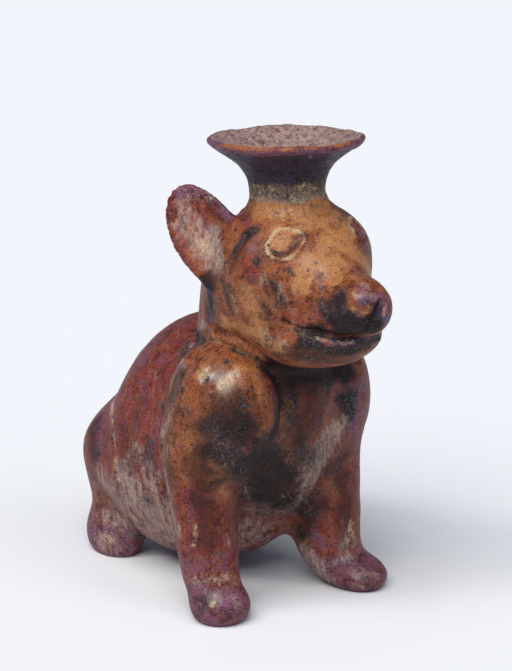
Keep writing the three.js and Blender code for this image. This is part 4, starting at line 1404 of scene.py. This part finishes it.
@dataclass
class DogJar:
    """The jar: its skin, its carving and its finish.

    Attributes:
        node: The frame's node that it stands for.
        cell: The size of the skin's faces, in metres.
        weld: How near two corners are that become one, in metres.
        chamber_share: The share of the chamber's faces that stays.
        clay: The form of its outside.
    """

    node: str = "dog_jar"
    cell: float = 0.00205
    weld: float = 1e-6
    chamber_share: float = 0.06
    clay: Clay = field(default_factory=Clay)

    def build(self) -> bpy.types.Object:
        """Makes the jar and puts it in place of the frame's solid.

        Returns:
            The finished object.
        """
        piece = self.copy_solid()
        face_lines, fold_lines = face(), creases()
        skin = self.settled(piece, 4)
        self.refine(piece, self.fine_parts(skin, face_lines, fold_lines))
        skin = self.settled(piece, 2)
        self.refine(piece, face_lines.reach(skin, 1.5))
        skin = self.settled(piece, 2)
        for work in (HandMade(), fold_lines, face_lines, WornLip()):
            work.carve(skin)
        skin.points[:, 2] = np.maximum(skin.points[:, 2], 0.0)
        skin.write()
        self.thin_chamber(piece, skin)
        STAINS_AND_PAINTED_LIGHT.paint(Skin.read(piece.data, self.clay))
        activate(piece)
        bpy.ops.object.shade_smooth()
        piece.data.materials.clear()
        piece.data.materials.append(BurnishedClay().material())
        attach(piece, "root")
        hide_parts(self.node)
        return piece

    def copy_solid(self) -> bpy.types.Object:
        """Copies the solid, merges its corners and draws an even skin over it."""
        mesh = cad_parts[self.node].data.copy()
        piece = bpy.data.objects.new("burnished_jar", mesh)
        bpy.context.scene.collection.objects.link(piece)
        activate(piece)
        bpy.ops.object.mode_set(mode="EDIT")
        bpy.ops.mesh.select_all(action="SELECT")
        bpy.ops.mesh.remove_doubles(threshold=self.weld)
        bpy.ops.object.mode_set(mode="OBJECT")
        remesh = piece.modifiers.new("even_skin", "REMESH")
        remesh.mode = "VOXEL"
        remesh.voxel_size = self.cell
        bpy.ops.object.modifier_apply(modifier=remesh.name)
        return piece

    def settled(self, piece: bpy.types.Object, turns: int) -> Skin:
        """Reads the skin of the piece and settles it on the form of the clay.

        Args:
            piece: The jar so far.
            turns: How many times it is settled.

        Returns:
            The settled skin.
        """
        skin = Skin.read(piece.data, self.clay)
        skin.settle(self.clay, turns)
        skin.write()
        outside = int((skin.side == Side.OUTSIDE.value).sum())
        log.info("skin: %d points, %d outside", len(skin.points), outside)
        return skin

    def fine_parts(self, skin: Skin, face_lines: Carving, fold_lines: Carving) -> Array:
        """Finds the finely worked parts: face, ears, lip, foot of the spout and folds.

        Args:
            skin: The skin of the jar.
            face_lines: The carving of the face.
            fold_lines: The carving of the folds.

        Returns:
            For each point whether it belongs to one of them.
        """
        lip_radius, lip_height = 35.0, 43.0
        foot_low, foot_high, foot_radius = 5.0, 21.0, 27.0
        muzzle_back, muzzle_low = -72.0, 158.0
        ear_margin, face_margin, fold_margin = 1.5, 4.0, 1.0
        at = skin.points
        radius, height, _ = Spout().local(at - MIDDLE)
        lip = (radius > lip_radius) & (height > lip_height)
        foot = (height > foot_low) & (height < foot_high) & (radius < foot_radius)
        right, left = (Ear(side).depth(at - MIDDLE) < ear_margin for side in (-1, 1))
        muzzle = (at[:, 1] < muzzle_back) & (at[:, 2] > muzzle_low)
        lines = face_lines.reach(skin, face_margin) | fold_lines.reach(skin, fold_margin)
        return (lip | foot | right | left | muzzle | lines) & (skin.side == Side.OUTSIDE.value)

    def select(self, piece: bpy.types.Object, chosen: Array) -> None:
        """Selects in edit mode the faces whose corners are all chosen."""
        mesh = piece.data
        corners = np.empty(len(mesh.loops), np.int32)
        mesh.loops.foreach_get("vertex_index", corners)
        starts = np.empty(len(mesh.polygons), np.int32)
        mesh.polygons.foreach_get("loop_start", starts)
        whole = np.logical_and.reduceat(chosen[corners], starts)
        activate(piece)
        bpy.context.tool_settings.mesh_select_mode = (False, False, True)
        bpy.ops.object.mode_set(mode="EDIT")
        bpy.ops.mesh.select_all(action="DESELECT")
        bpy.ops.object.mode_set(mode="OBJECT")
        mesh.polygons.foreach_set("select", whole)
        bpy.ops.object.mode_set(mode="EDIT")

    def refine(self, piece: bpy.types.Object, chosen: Array) -> None:
        """Halves the faces of the chosen part."""
        self.select(piece, chosen)
        bpy.ops.mesh.subdivide(number_cuts=1)
        bpy.ops.object.mode_set(mode="OBJECT")

    def thin_chamber(self, piece: bpy.types.Object, skin: Skin) -> None:
        """Leaves fewer faces in the chamber, which is out of sight."""
        self.select(piece, skin.side == Side.CHAMBER.value)
        bpy.ops.mesh.decimate(ratio=self.chamber_share)
        bpy.ops.object.mode_set(mode="OBJECT")


# Finishes


def tint(red: int, green: int, blue: int) -> Tint:
    """A colour as a painter names it, from 0 to 255, made linear for the light."""
    shares = [part / 255.0 for part in (red, green, blue)]
    return (*(s / 12.92 if s < 0.04 else ((s + 0.055) / 1.055) ** 2.4 for s in shares), 1.0)


@dataclass
class Socket:
    """An output of a material's node that can be reckoned with like a number."""

    tree: bpy.types.NodeTree
    out: bpy.types.NodeSocket

    def maths(self, operation: str, *values: "Socket | float") -> "Socket":
        """Adds a Math node for an operation on some values."""
        node = self.tree.nodes.new("ShaderNodeMath")
        node.operation = operation
        for place, value in zip(node.inputs, values):
            if isinstance(value, Socket):
                self.tree.links.new(value.out, place)
            else:
                place.default_value = value
        return Socket(self.tree, node.outputs[0])

    def __add__(self, other: "Socket | float") -> "Socket":
        """This plus another."""
        return self.maths("ADD", self, other)

    def __radd__(self, other: float) -> "Socket":
        """A number plus this."""
        return self.maths("ADD", other, self)

    def __sub__(self, other: "Socket | float") -> "Socket":
        """This less another."""
        return self.maths("SUBTRACT", self, other)

    def __rsub__(self, other: float) -> "Socket":
        """A number less this."""
        return self.maths("SUBTRACT", other, self)

    def __mul__(self, other: "Socket | float") -> "Socket":
        """This times another."""
        return self.maths("MULTIPLY", self, other)

    def __rmul__(self, other: float) -> "Socket":
        """A number times this."""
        return self.maths("MULTIPLY", other, self)

    def most(self, other: "Socket | float") -> "Socket":
        """The larger of this and another."""
        return self.maths("MAXIMUM", self, other)


@dataclass
class Workbench:
    """Where a material's nodes are laid out and joined."""

    tree: bpy.types.NodeTree

    def node(self, kind: str, settings: dict[str, object], inputs: dict[str, object]) -> bpy.types.Node:
        """Adds a node.

        Args:
            kind: Its type, without the first words.
            settings: Its own settings, which are set first.
            inputs: Values or Sockets for its sockets, by name or number.

        Returns:
            The node.
        """
        node = self.tree.nodes.new("ShaderNode" + kind)
        for name, value in settings.items():
            setattr(node, name, value)
        for name, value in inputs.items():
            if isinstance(value, Socket):
                self.tree.links.new(value.out, node.inputs[name])
            else:
                node.inputs[name].default_value = value
        return node

    def out(self, node: bpy.types.Node, name: str | int = 0) -> Socket:
        """One output of a node."""
        return Socket(self.tree, node.outputs[name])

    def join(self, value: Socket, place: bpy.types.NodeSocket) -> None:
        """Joins a value to a socket."""
        self.tree.links.new(value.out, place)

    def coat(self, coat: Coat) -> Socket:
        """The density of a coat."""
        return self.out(self.node("Attribute", {"attribute_name": coat.value}, {}), "Fac")

    def noise(self, place: Socket, size: float, detail: float = 3.0, rough: float = 0.6) -> Socket:
        """A cloudy noise, spread over the range from 0 to 1.

        Args:
            place: Where, in millimetres.
            size: The size of its lumps, in millimetres.
            detail: How many times finer lumps are added.
            rough: How strong the finer lumps are.

        Returns:
            The noise.
        """
        inputs = {"Vector": place, "Scale": 1.0 / size, "Detail": detail, "Roughness": rough}
        raw = self.out(self.node("TexNoise", {}, inputs), "Fac")
        return self.out(self.node("MapRange", {}, {"Value": raw, "From Min": 0.3, "From Max": 0.7}))

    def soft(self, value: Socket, low: float, high: float) -> Socket:
        """Rises softly from 0 at low to 1 at high."""
        inputs = {"Value": value, "From Min": low, "From Max": high}
        return self.out(self.node("MapRange", {"interpolation_type": "SMOOTHSTEP"}, inputs))

    def mix(self, first: object, second: object, factor: Socket | float, blend: str = "MIX") -> Socket:
        """Lays a second colour over a first one."""
        settings = {"data_type": "RGBA", "blend_type": blend}
        return self.out(self.node("Mix", settings, {0: factor, 6: first, 7: second}), 2)

    def stretched(self, place: Socket, turn: Spot, scale: Spot) -> Socket:
        """A place turned by some degrees and stretched."""
        inputs = {"Rotation": tuple(math.radians(a) for a in turn), "Scale": scale}
        return self.out(self.node("Mapping", {"vector_type": "TEXTURE"}, {"Vector": place, **inputs}))

    def specks(self, place: Socket, cell: float, radius: float, share: float) -> Socket:
        """Round specks, one at most in each cell of a size in millimetres.

        Args:
            place: Where, in millimetres.
            cell: The size of a cell.
            radius: The radius of the largest specks, in cells.
            share: The share of the cells that have one.

        Returns:
            A mask that is 1 in the middle of a speck.
        """
        cells = self.node("TexVoronoi", {"feature": "F1"}, {"Vector": place, "Scale": 1.0 / cell})
        parts = self.node("SeparateColor", {}, {0: self.out(cells, "Color")})
        size = self.out(parts, 0) * (0.8 * radius) + 0.2 * radius
        shown = self.soft(self.out(parts, 1), 1.0 - share, 1.0 - share + 0.05)
        return self.soft(size - self.out(cells, "Distance"), 0.0, 0.12) * shown


@dataclass
class Surface:
    """The jar's surface as the layers of its finish see it: where it is, its noises and its coats.

    Attributes:
        bench: Where the nodes are laid out.
    """

    bench: Workbench

    def __post_init__(self) -> None:
        """Lays out the place in millimetres, the noises from coarse to fine, and the coats."""
        bench = self.bench
        where = bench.out(bench.node("TexCoord", {}, {}), "Object")
        place = bench.out(bench.node("VectorMath", {"operation": "SCALE"}, {0: where, "Scale": 1000.0}))
        self.place = place
        self.cloud = bench.noise(place, 22.0, 5.0, 0.65)
        self.mottle = bench.noise(place, 7.5, 6.0, 0.66)
        self.blotch = bench.noise(place, 4.2, 5.0, 0.7)
        self.grit = bench.noise(place, 2.1, 4.0, 0.62)
        self.fine = bench.noise(place, 0.8, 2.0, 0.6)
        self.streaks = self.drawn((0, 75, 20), 5.0, 2.6, 3.0, 0.6)
        self.bands = self.drawn((0, 90, 0), 5.0, 5.0, 4.0, 0.6)
        self.lay_coats()

    def drawn(self, turn: Spot, draw: float, size: float, detail: float, rough: float) -> Socket:
        """A noise drawn out lengthwise, as by a tool.

        Args:
            turn: The degrees by which it is turned.
            draw: How many times it is drawn out.
            size: The size of its lumps, in millimetres.
            detail: How many times finer lumps are added.
            rough: How strong the finer lumps are.

        Returns:
            The noise.
        """
        along_tool = self.bench.stretched(self.place, turn, (draw, 1.0, 1.0))
        return self.bench.noise(along_tool, size, detail, rough)

    def mask(self, coat: Coat, noise: Socket, raggedness: float, low: float, high: float) -> Socket:
        """A coat's density, broken up by a noise and then spread from low to high."""
        density = self.bench.coat(coat) + (noise - 0.5) * raggedness
        return self.bench.soft(density, low, high)

    def lay_coats(self) -> None:
        """Breaks up each coat in its own way."""
        bench, cloud, mottle, grit = self.bench, self.cloud, self.mottle, self.grit
        # The ochre slip, partly painted highlight on the crests of the right shoulder.
        self.ochre = self.mask(Coat.OCHRE, cloud, 0.5, 0.1, 0.9)
        self.red = self.mask(Coat.RED, cloud, 0.6, 0.15, 0.85)
        self.plum = self.mask(Coat.PLUM, mottle, 0.8, 0.15, 0.9)
        # A bluish tint, partly painted bluish shade and sky reflection.
        self.dusk_and_blue_shade = self.mask(Coat.DUSK_AND_BLUE_SHADE, mottle * 0.5 + grit * 0.5, 0.9, 0.1, 0.9)
        self.ash = self.mask(Coat.ASH, mottle * 0.5 + self.streaks * 0.5, 0.9, 0.15, 0.9)
        speckle = mottle * 0.3 + grit * 0.35 + self.fine * 0.35 - 0.5
        # Soot, and painted shade under the jaw and the chin.
        self.soot = bench.soft(0.85 * bench.coat(Coat.SOOT_AND_SHADE) + speckle * 2.2, 0.15, 0.7)
        # Smoky patches, partly painted shade under the jaw, the chin and the spout's lip.
        self.smoke = self.mask(Coat.SMOKE, mottle * 0.6 + cloud * 0.4, 0.5, 0.0, 1.0)
        # Scuffs, and painted highlights on the right shoulder and the nose.
        self.pale = self.mask(Coat.PALE, grit * 0.6 + mottle * 0.4, 0.8, 0.25, 0.95)


@dataclass(frozen=True)
class BurnishedClay:
    """Mottled slip over clay, burnished, worn, sooted and crusted with earth.

    Attributes:
        orange: The bare clay.
        brown: Darker clouds and blotches in it.
        ochre: The pale slip of the face, also laid as painted highlight on the crests of the right
            shoulder.
        red: The red slip of the back.
        plum: The dark slip of the paws and the spout, and bands in the red one.
        rust: Warmer blotches in the plum slip.
        dusk_and_blue_shade: A bluish tint on the dark slips, partly a bloom of the slip and partly painted
            bluish shade and sky reflection.
        ash: The pale crust of earth.
        grey: Thinner parts of the crust, and dull blotches of the slip.
        soot: The soot, also laid as painted shade under the jaw and the chin.
        moss: Lighter grains in the soot.
        fleck: Flecks where the soot has come off.
        smoke: The darkening of smoky patches and of painted shade over other colours.
        pale: Scuffs and scratches, and painted highlights on the right shoulder and the nose.
        pit: Pits and nicks.
        dull_shade: The shade of dull blotches over other colours.
        grain_shade: The shade between the grains of the clay.
        full_light: No shade at all.
        scratch_turns: The degrees by which the three lots of scratches are turned.
        nick_turn: The same for the nicks.
        relief: The height of the grain, in metres.
        relief_strength: How much of it shows.
        coat_roughness: How dull the burnish is.
        coat_bend: How much the burnish bends the light.
        clay_gleam: How much light the clay under the burnish mirrors.
    """

    orange: Tint = tint(176, 98, 48)
    brown: Tint = tint(116, 58, 30)
    ochre: Tint = tint(198, 136, 80)
    red: Tint = tint(138, 46, 36)
    plum: Tint = tint(132, 82, 108)
    rust: Tint = tint(140, 72, 62)
    dusk_and_blue_shade: Tint = tint(100, 90, 142)
    ash: Tint = tint(196, 168, 152)
    grey: Tint = tint(118, 104, 112)
    soot: Tint = tint(16, 14, 28)
    moss: Tint = tint(64, 66, 68)
    fleck: Tint = tint(138, 124, 106)
    smoke: Tint = tint(134, 108, 106)
    pale: Tint = tint(208, 180, 138)
    pit: Tint = tint(44, 28, 26)
    dull_shade: Tint = tint(150, 132, 138)
    grain_shade: Tint = tint(116, 104, 110)
    full_light: Tint = tint(255, 255, 255)
    scratch_turns: tuple[Spot, ...] = ((0, 70, 0), (10, 35, 40), (0, -40, -30))
    nick_turn: Spot = (20, 60, 20)
    relief: float = 0.0008
    relief_strength: float = 0.35
    coat_roughness: float = 0.22
    coat_bend: float = 1.5
    clay_gleam: float = 0.22

    def material(self) -> bpy.types.Material:
        """Makes the material.

        Returns:
            The material with all its layers.
        """
        material = bpy.data.materials.new("burnished_clay")
        material.use_nodes = True
        on = Surface(Workbench(material.node_tree))
        pits = self.pits(on)
        colour = self.dirtied(on, self.slipped(on))
        colour = self.scratched(on, self.dulled(on, colour))
        colour = on.bench.mix(colour, self.pit, pits * (1.0 - on.ash * 0.7) * 0.85)
        shader = material.node_tree.nodes["Principled BSDF"]
        on.bench.join(colour, shader.inputs["Base Color"])
        self.gloss(on, shader)
        self.carve_grain(on, shader, pits)
        return material

    def slipped(self, on: Surface) -> Socket:
        """The colour of the clay under its slips of ochre, red and plum, and under a bluish tint that is
        partly painted shade and sky reflection.
        """
        mix, soft = on.bench.mix, on.bench.soft
        colour = mix(self.brown, self.orange, soft(on.cloud * 0.5 + on.mottle * 0.5, 0.1, 0.7))
        # The ochre slip, partly painted highlight on the crests of the right shoulder.
        colour = mix(colour, self.ochre, on.ochre * 0.9)
        scarlet = mix(self.red, self.orange, soft(on.bands, 0.5, 0.8) * 0.5)
        scarlet = mix(scarlet, self.plum, soft(1.0 - on.bands, 0.5, 0.8) * 0.45)
        colour = mix(colour, scarlet, on.red * 0.9)
        violet = mix(self.plum, self.rust, soft(on.blotch, 0.45, 0.7) * 0.7)
        colour = mix(colour, violet, on.plum * 0.9)
        # The bluish tint, partly painted bluish shade and sky reflection.
        colour = mix(colour, self.dusk_and_blue_shade, on.dusk_and_blue_shade * 0.85)
        colour = mix(colour, self.grey, soft(1.0 - on.blotch, 0.5, 0.8) * (1.0 - on.ochre * 0.6) * 0.3)
        return mix(colour, self.brown, soft(on.blotch, 0.52, 0.72) * (1.0 - on.dusk_and_blue_shade) * 0.35)

    def dirtied(self, on: Surface, colour: Socket) -> Socket:
        """The colour with the crust of earth, the soot, the smoky patches and painted shade, and the
        scuffs, some of them painted highlights.
        """
        mix, soft = on.bench.mix, on.bench.soft
        dust = on.streaks * 0.7 + on.grit * 0.3 + on.bench.coat(Coat.PALE) * 0.4
        earth = mix(self.grey, self.ash, soft(dust, 0.1, 0.8))
        colour = mix(colour, earth, on.ash * 0.8)
        burnt = mix(self.soot, self.moss, soft(on.grit * 0.5 + on.fine * 0.5, 0.45, 1.0))
        # Soot, and painted shade under the jaw and the chin.
        colour = mix(colour, burnt, on.soot * 0.92)
        flecks = soft(on.bench.noise(on.place, 1.3, 2.0, 0.7), 0.58, 0.72)
        colour = mix(colour, self.fleck, flecks * on.soot * 0.5)
        # Smoky patches and painted shade multiply the colour darker.
        colour = mix(colour, self.smoke, on.smoke * 0.95, "MULTIPLY")
        # Pale scuffs, and painted highlights on the right shoulder and the nose.
        return mix(colour, self.pale, on.pale * 0.75)

    def dulled(self, on: Surface, colour: Socket) -> Socket:
        """The colour with dull blotches and the grain of the clay in it."""
        mix, soft = on.bench.mix, on.bench.soft
        bright = soft(on.mottle * 0.7 + on.grit * 0.3 + on.ochre * 0.25, 0.1, 0.6)
        shade = mix(self.dull_shade, self.full_light, bright.most(on.ash * 0.8))
        colour = mix(colour, shade, 1.0, "MULTIPLY")
        grain = soft(on.fine * 0.75 + on.grit * 0.25, 0.05, 0.75)
        grain = grain.most((on.ochre * 0.6).most(on.ash * 0.5))
        return mix(colour, mix(self.grain_shade, self.full_light, grain), 1.0, "MULTIPLY")

    def scratched(self, on: Surface, colour: Socket) -> Socket:
        """The colour with fine pale scratches and dark nicks."""
        mix, soft = on.bench.mix, on.bench.soft
        first, second, third = (on.drawn(turn, 12.0, 0.8, 1.0, 0.5) for turn in self.scratch_turns)
        lines = first.most(second).most(third)
        shown = soft(on.mottle * 0.6 + on.pale * 0.6 + on.ash * 0.25, 0.45, 1.0)
        colour = mix(colour, self.pale, soft(lines, 0.8, 1.0) * shown * 0.7)
        nicks = on.drawn(self.nick_turn, 8.0, 1.0, 1.0, 0.5)
        return mix(colour, self.pit, soft(nicks, 0.8, 1.0) * (1.0 - on.ochre * 0.5) * 0.5)

    def pits(self, on: Surface) -> Socket:
        """Small and large pits, of which the small ones spare the ochre slip."""
        small = on.bench.specks(on.place, 3.4, 0.28, 0.3)
        small = small * on.bench.soft(1.0 - on.ochre + on.mottle, 0.5, 1.2)
        return small.most(on.bench.specks(on.place, 8.5, 0.24, 0.5))

    def gloss(self, on: Surface, shader: bpy.types.Node) -> None:
        """Makes the slip burnished, and the crust and the soot dull."""
        rough = 0.5 + 0.12 * on.mottle + 0.25 * on.ash + 0.2 * on.soot
        on.bench.join(rough, shader.inputs["Roughness"])
        rubbed = on.bench.soft(on.mottle + 0.3 - on.ash * 0.5, 0.0, 0.8)
        burnish = (0.1 + 0.9 * on.bench.coat(Coat.SHEEN)) * rubbed
        on.bench.join(burnish, shader.inputs["Coat Weight"])
        shader.inputs["Coat Roughness"].default_value = self.coat_roughness
        shader.inputs["Coat IOR"].default_value = self.coat_bend
        shader.inputs["Specular IOR Level"].default_value = self.clay_gleam

    def carve_grain(self, on: Surface, shader: bpy.types.Node, pits: Socket) -> None:
        """Raises the grain, the crust and the soot a little, and sinks the pits."""
        clay = on.fine * 0.15 + on.grit * 0.3 + on.mottle * 0.5
        height = clay + on.grit * on.ash * 0.8 + on.grit * on.soot * 0.4 - pits * 0.9
        inputs = {"Strength": self.relief_strength, "Distance": self.relief, "Height": height}
        bump = on.bench.out(on.bench.node("Bump", {}, inputs))
        on.bench.join(bump, shader.inputs["Normal"])


# Studio


@dataclass(frozen=True)
class Lamp:
    """A broad light that is far away.

    Attributes:
        name: Its name.
        place: The direction from which it shines.
        spread: How wide it is in the sky, in degrees.
        power: Its strength.
    """

    name: str
    place: Spot
    spread: float
    power: float

    def hang(self) -> None:
        """Hangs the light and turns it to the jar."""
        data = bpy.data.lights.new(self.name, "SUN")
        data.angle = math.radians(self.spread)
        data.energy = self.power
        lamp = bpy.data.objects.new(self.name, data)
        bpy.context.scene.collection.objects.link(lamp)
        lamp.location = self.place
        lamp.rotation_euler = Vector(self.place).to_track_quat("Z", "Y").to_euler()


@dataclass
class Studio:
    """The pale floor, the soft lights and the camera.

    Attributes:
        aim: The point in the middle of the picture, in metres.
        azimuth: Degrees that the camera stands round from the dog's front, towards its left.
        elevation: Degrees that it looks down.
        distance: Metres from the aim.
        lens: Focal length in millimetres.
        sensor: The sensor's size along the picture's long side, in millimetres.
        floor_size: The floor's length and width, in metres.
        floor_tint: The floor's colour.
        floor_roughness: How dull the floor is.
        sky_tint: The colour of the even light from all sides.
        sky_strength: Its strength.
        lamps: A large soft light from above the dog's right, a weak one further back and a weak one from
            its left front.
    """

    aim: Spot = (0.0392, 0.0606, 0.1309)
    azimuth: float = -33.6
    elevation: float = 17.3
    distance: float = 1.791
    lens: float = 159.8
    sensor: float = 36.0
    floor_size: float = 16.0
    floor_tint: Tint = (0.755, 0.755, 0.755, 1.0)
    floor_roughness: float = 0.9
    sky_tint: Tint = (0.66, 0.76, 1.0, 1.0)
    sky_strength: float = 0.30
    lamps: tuple[Lamp, ...] = (
        Lamp("key", (-0.45, -0.30, 0.85), 46.0, 2.75),
        Lamp("lamp", (-0.70, 0.12, 0.75), 14.0, 0.6),
        Lamp("window", (0.19, -0.61, 0.77), 24.0, 0.5),
    )

    def build(self) -> None:
        """Sets up floor, light and camera."""
        self.lay_floor()
        self.hang_lights()
        self.place_camera()

    def lay_floor(self) -> None:
        """A wide pale floor on which the jar stands."""
        deselect_all()
        bpy.ops.mesh.primitive_plane_add(size=self.floor_size, location=(0, 0, 0))
        floor = bpy.context.object
        floor.name = "floor"
        material = bpy.data.materials.new("pale_floor")
        material.use_nodes = True
        shader = material.node_tree.nodes["Principled BSDF"]
        shader.inputs["Base Color"].default_value = self.floor_tint
        shader.inputs["Roughness"].default_value = self.floor_roughness
        floor.data.materials.append(material)

    def hang_lights(self) -> None:
        """Lights the jar by an even sky and the lamps."""
        world = bpy.data.worlds.new("even_sky")
        bpy.context.scene.world = world
        world.use_nodes = True
        sky = world.node_tree.nodes["Background"]
        sky.inputs["Color"].default_value = self.sky_tint
        sky.inputs["Strength"].default_value = self.sky_strength
        for lamp in self.lamps:
            lamp.hang()
        bpy.context.scene.view_settings.view_transform = "Standard"

    def place_camera(self) -> None:
        """Stands the camera at the right front of the dog, a little above it."""
        data = bpy.data.cameras.new("camera")
        data.lens = self.lens
        data.sensor_width = self.sensor
        data.clip_end = 50.0
        camera = bpy.data.objects.new("camera", data)
        bpy.context.scene.collection.objects.link(camera)
        turn, rise = math.radians(self.azimuth), math.radians(self.elevation)
        level = math.cos(rise)
        back = Vector((math.sin(turn) * level, -math.cos(turn) * level, math.sin(rise)))
        camera.location = Vector(self.aim) + back * self.distance
        camera.rotation_euler = (-back).to_track_quat("-Z", "Y").to_euler()
        bpy.context.scene.camera = camera


def main() -> None:
    """Builds the jar and the studio, and reports the pieces."""
    logging.basicConfig(level=logging.INFO, format="%(name)s: %(message)s")
    jar = DogJar().build()
    Studio().build()
    triangles = sum(len(face.vertices) - 2 for face in jar.data.polygons)
    log.info("%s: %d faces, %d triangles", jar.name, len(jar.data.polygons), triangles)


if __name__ == "__main__":
    main()
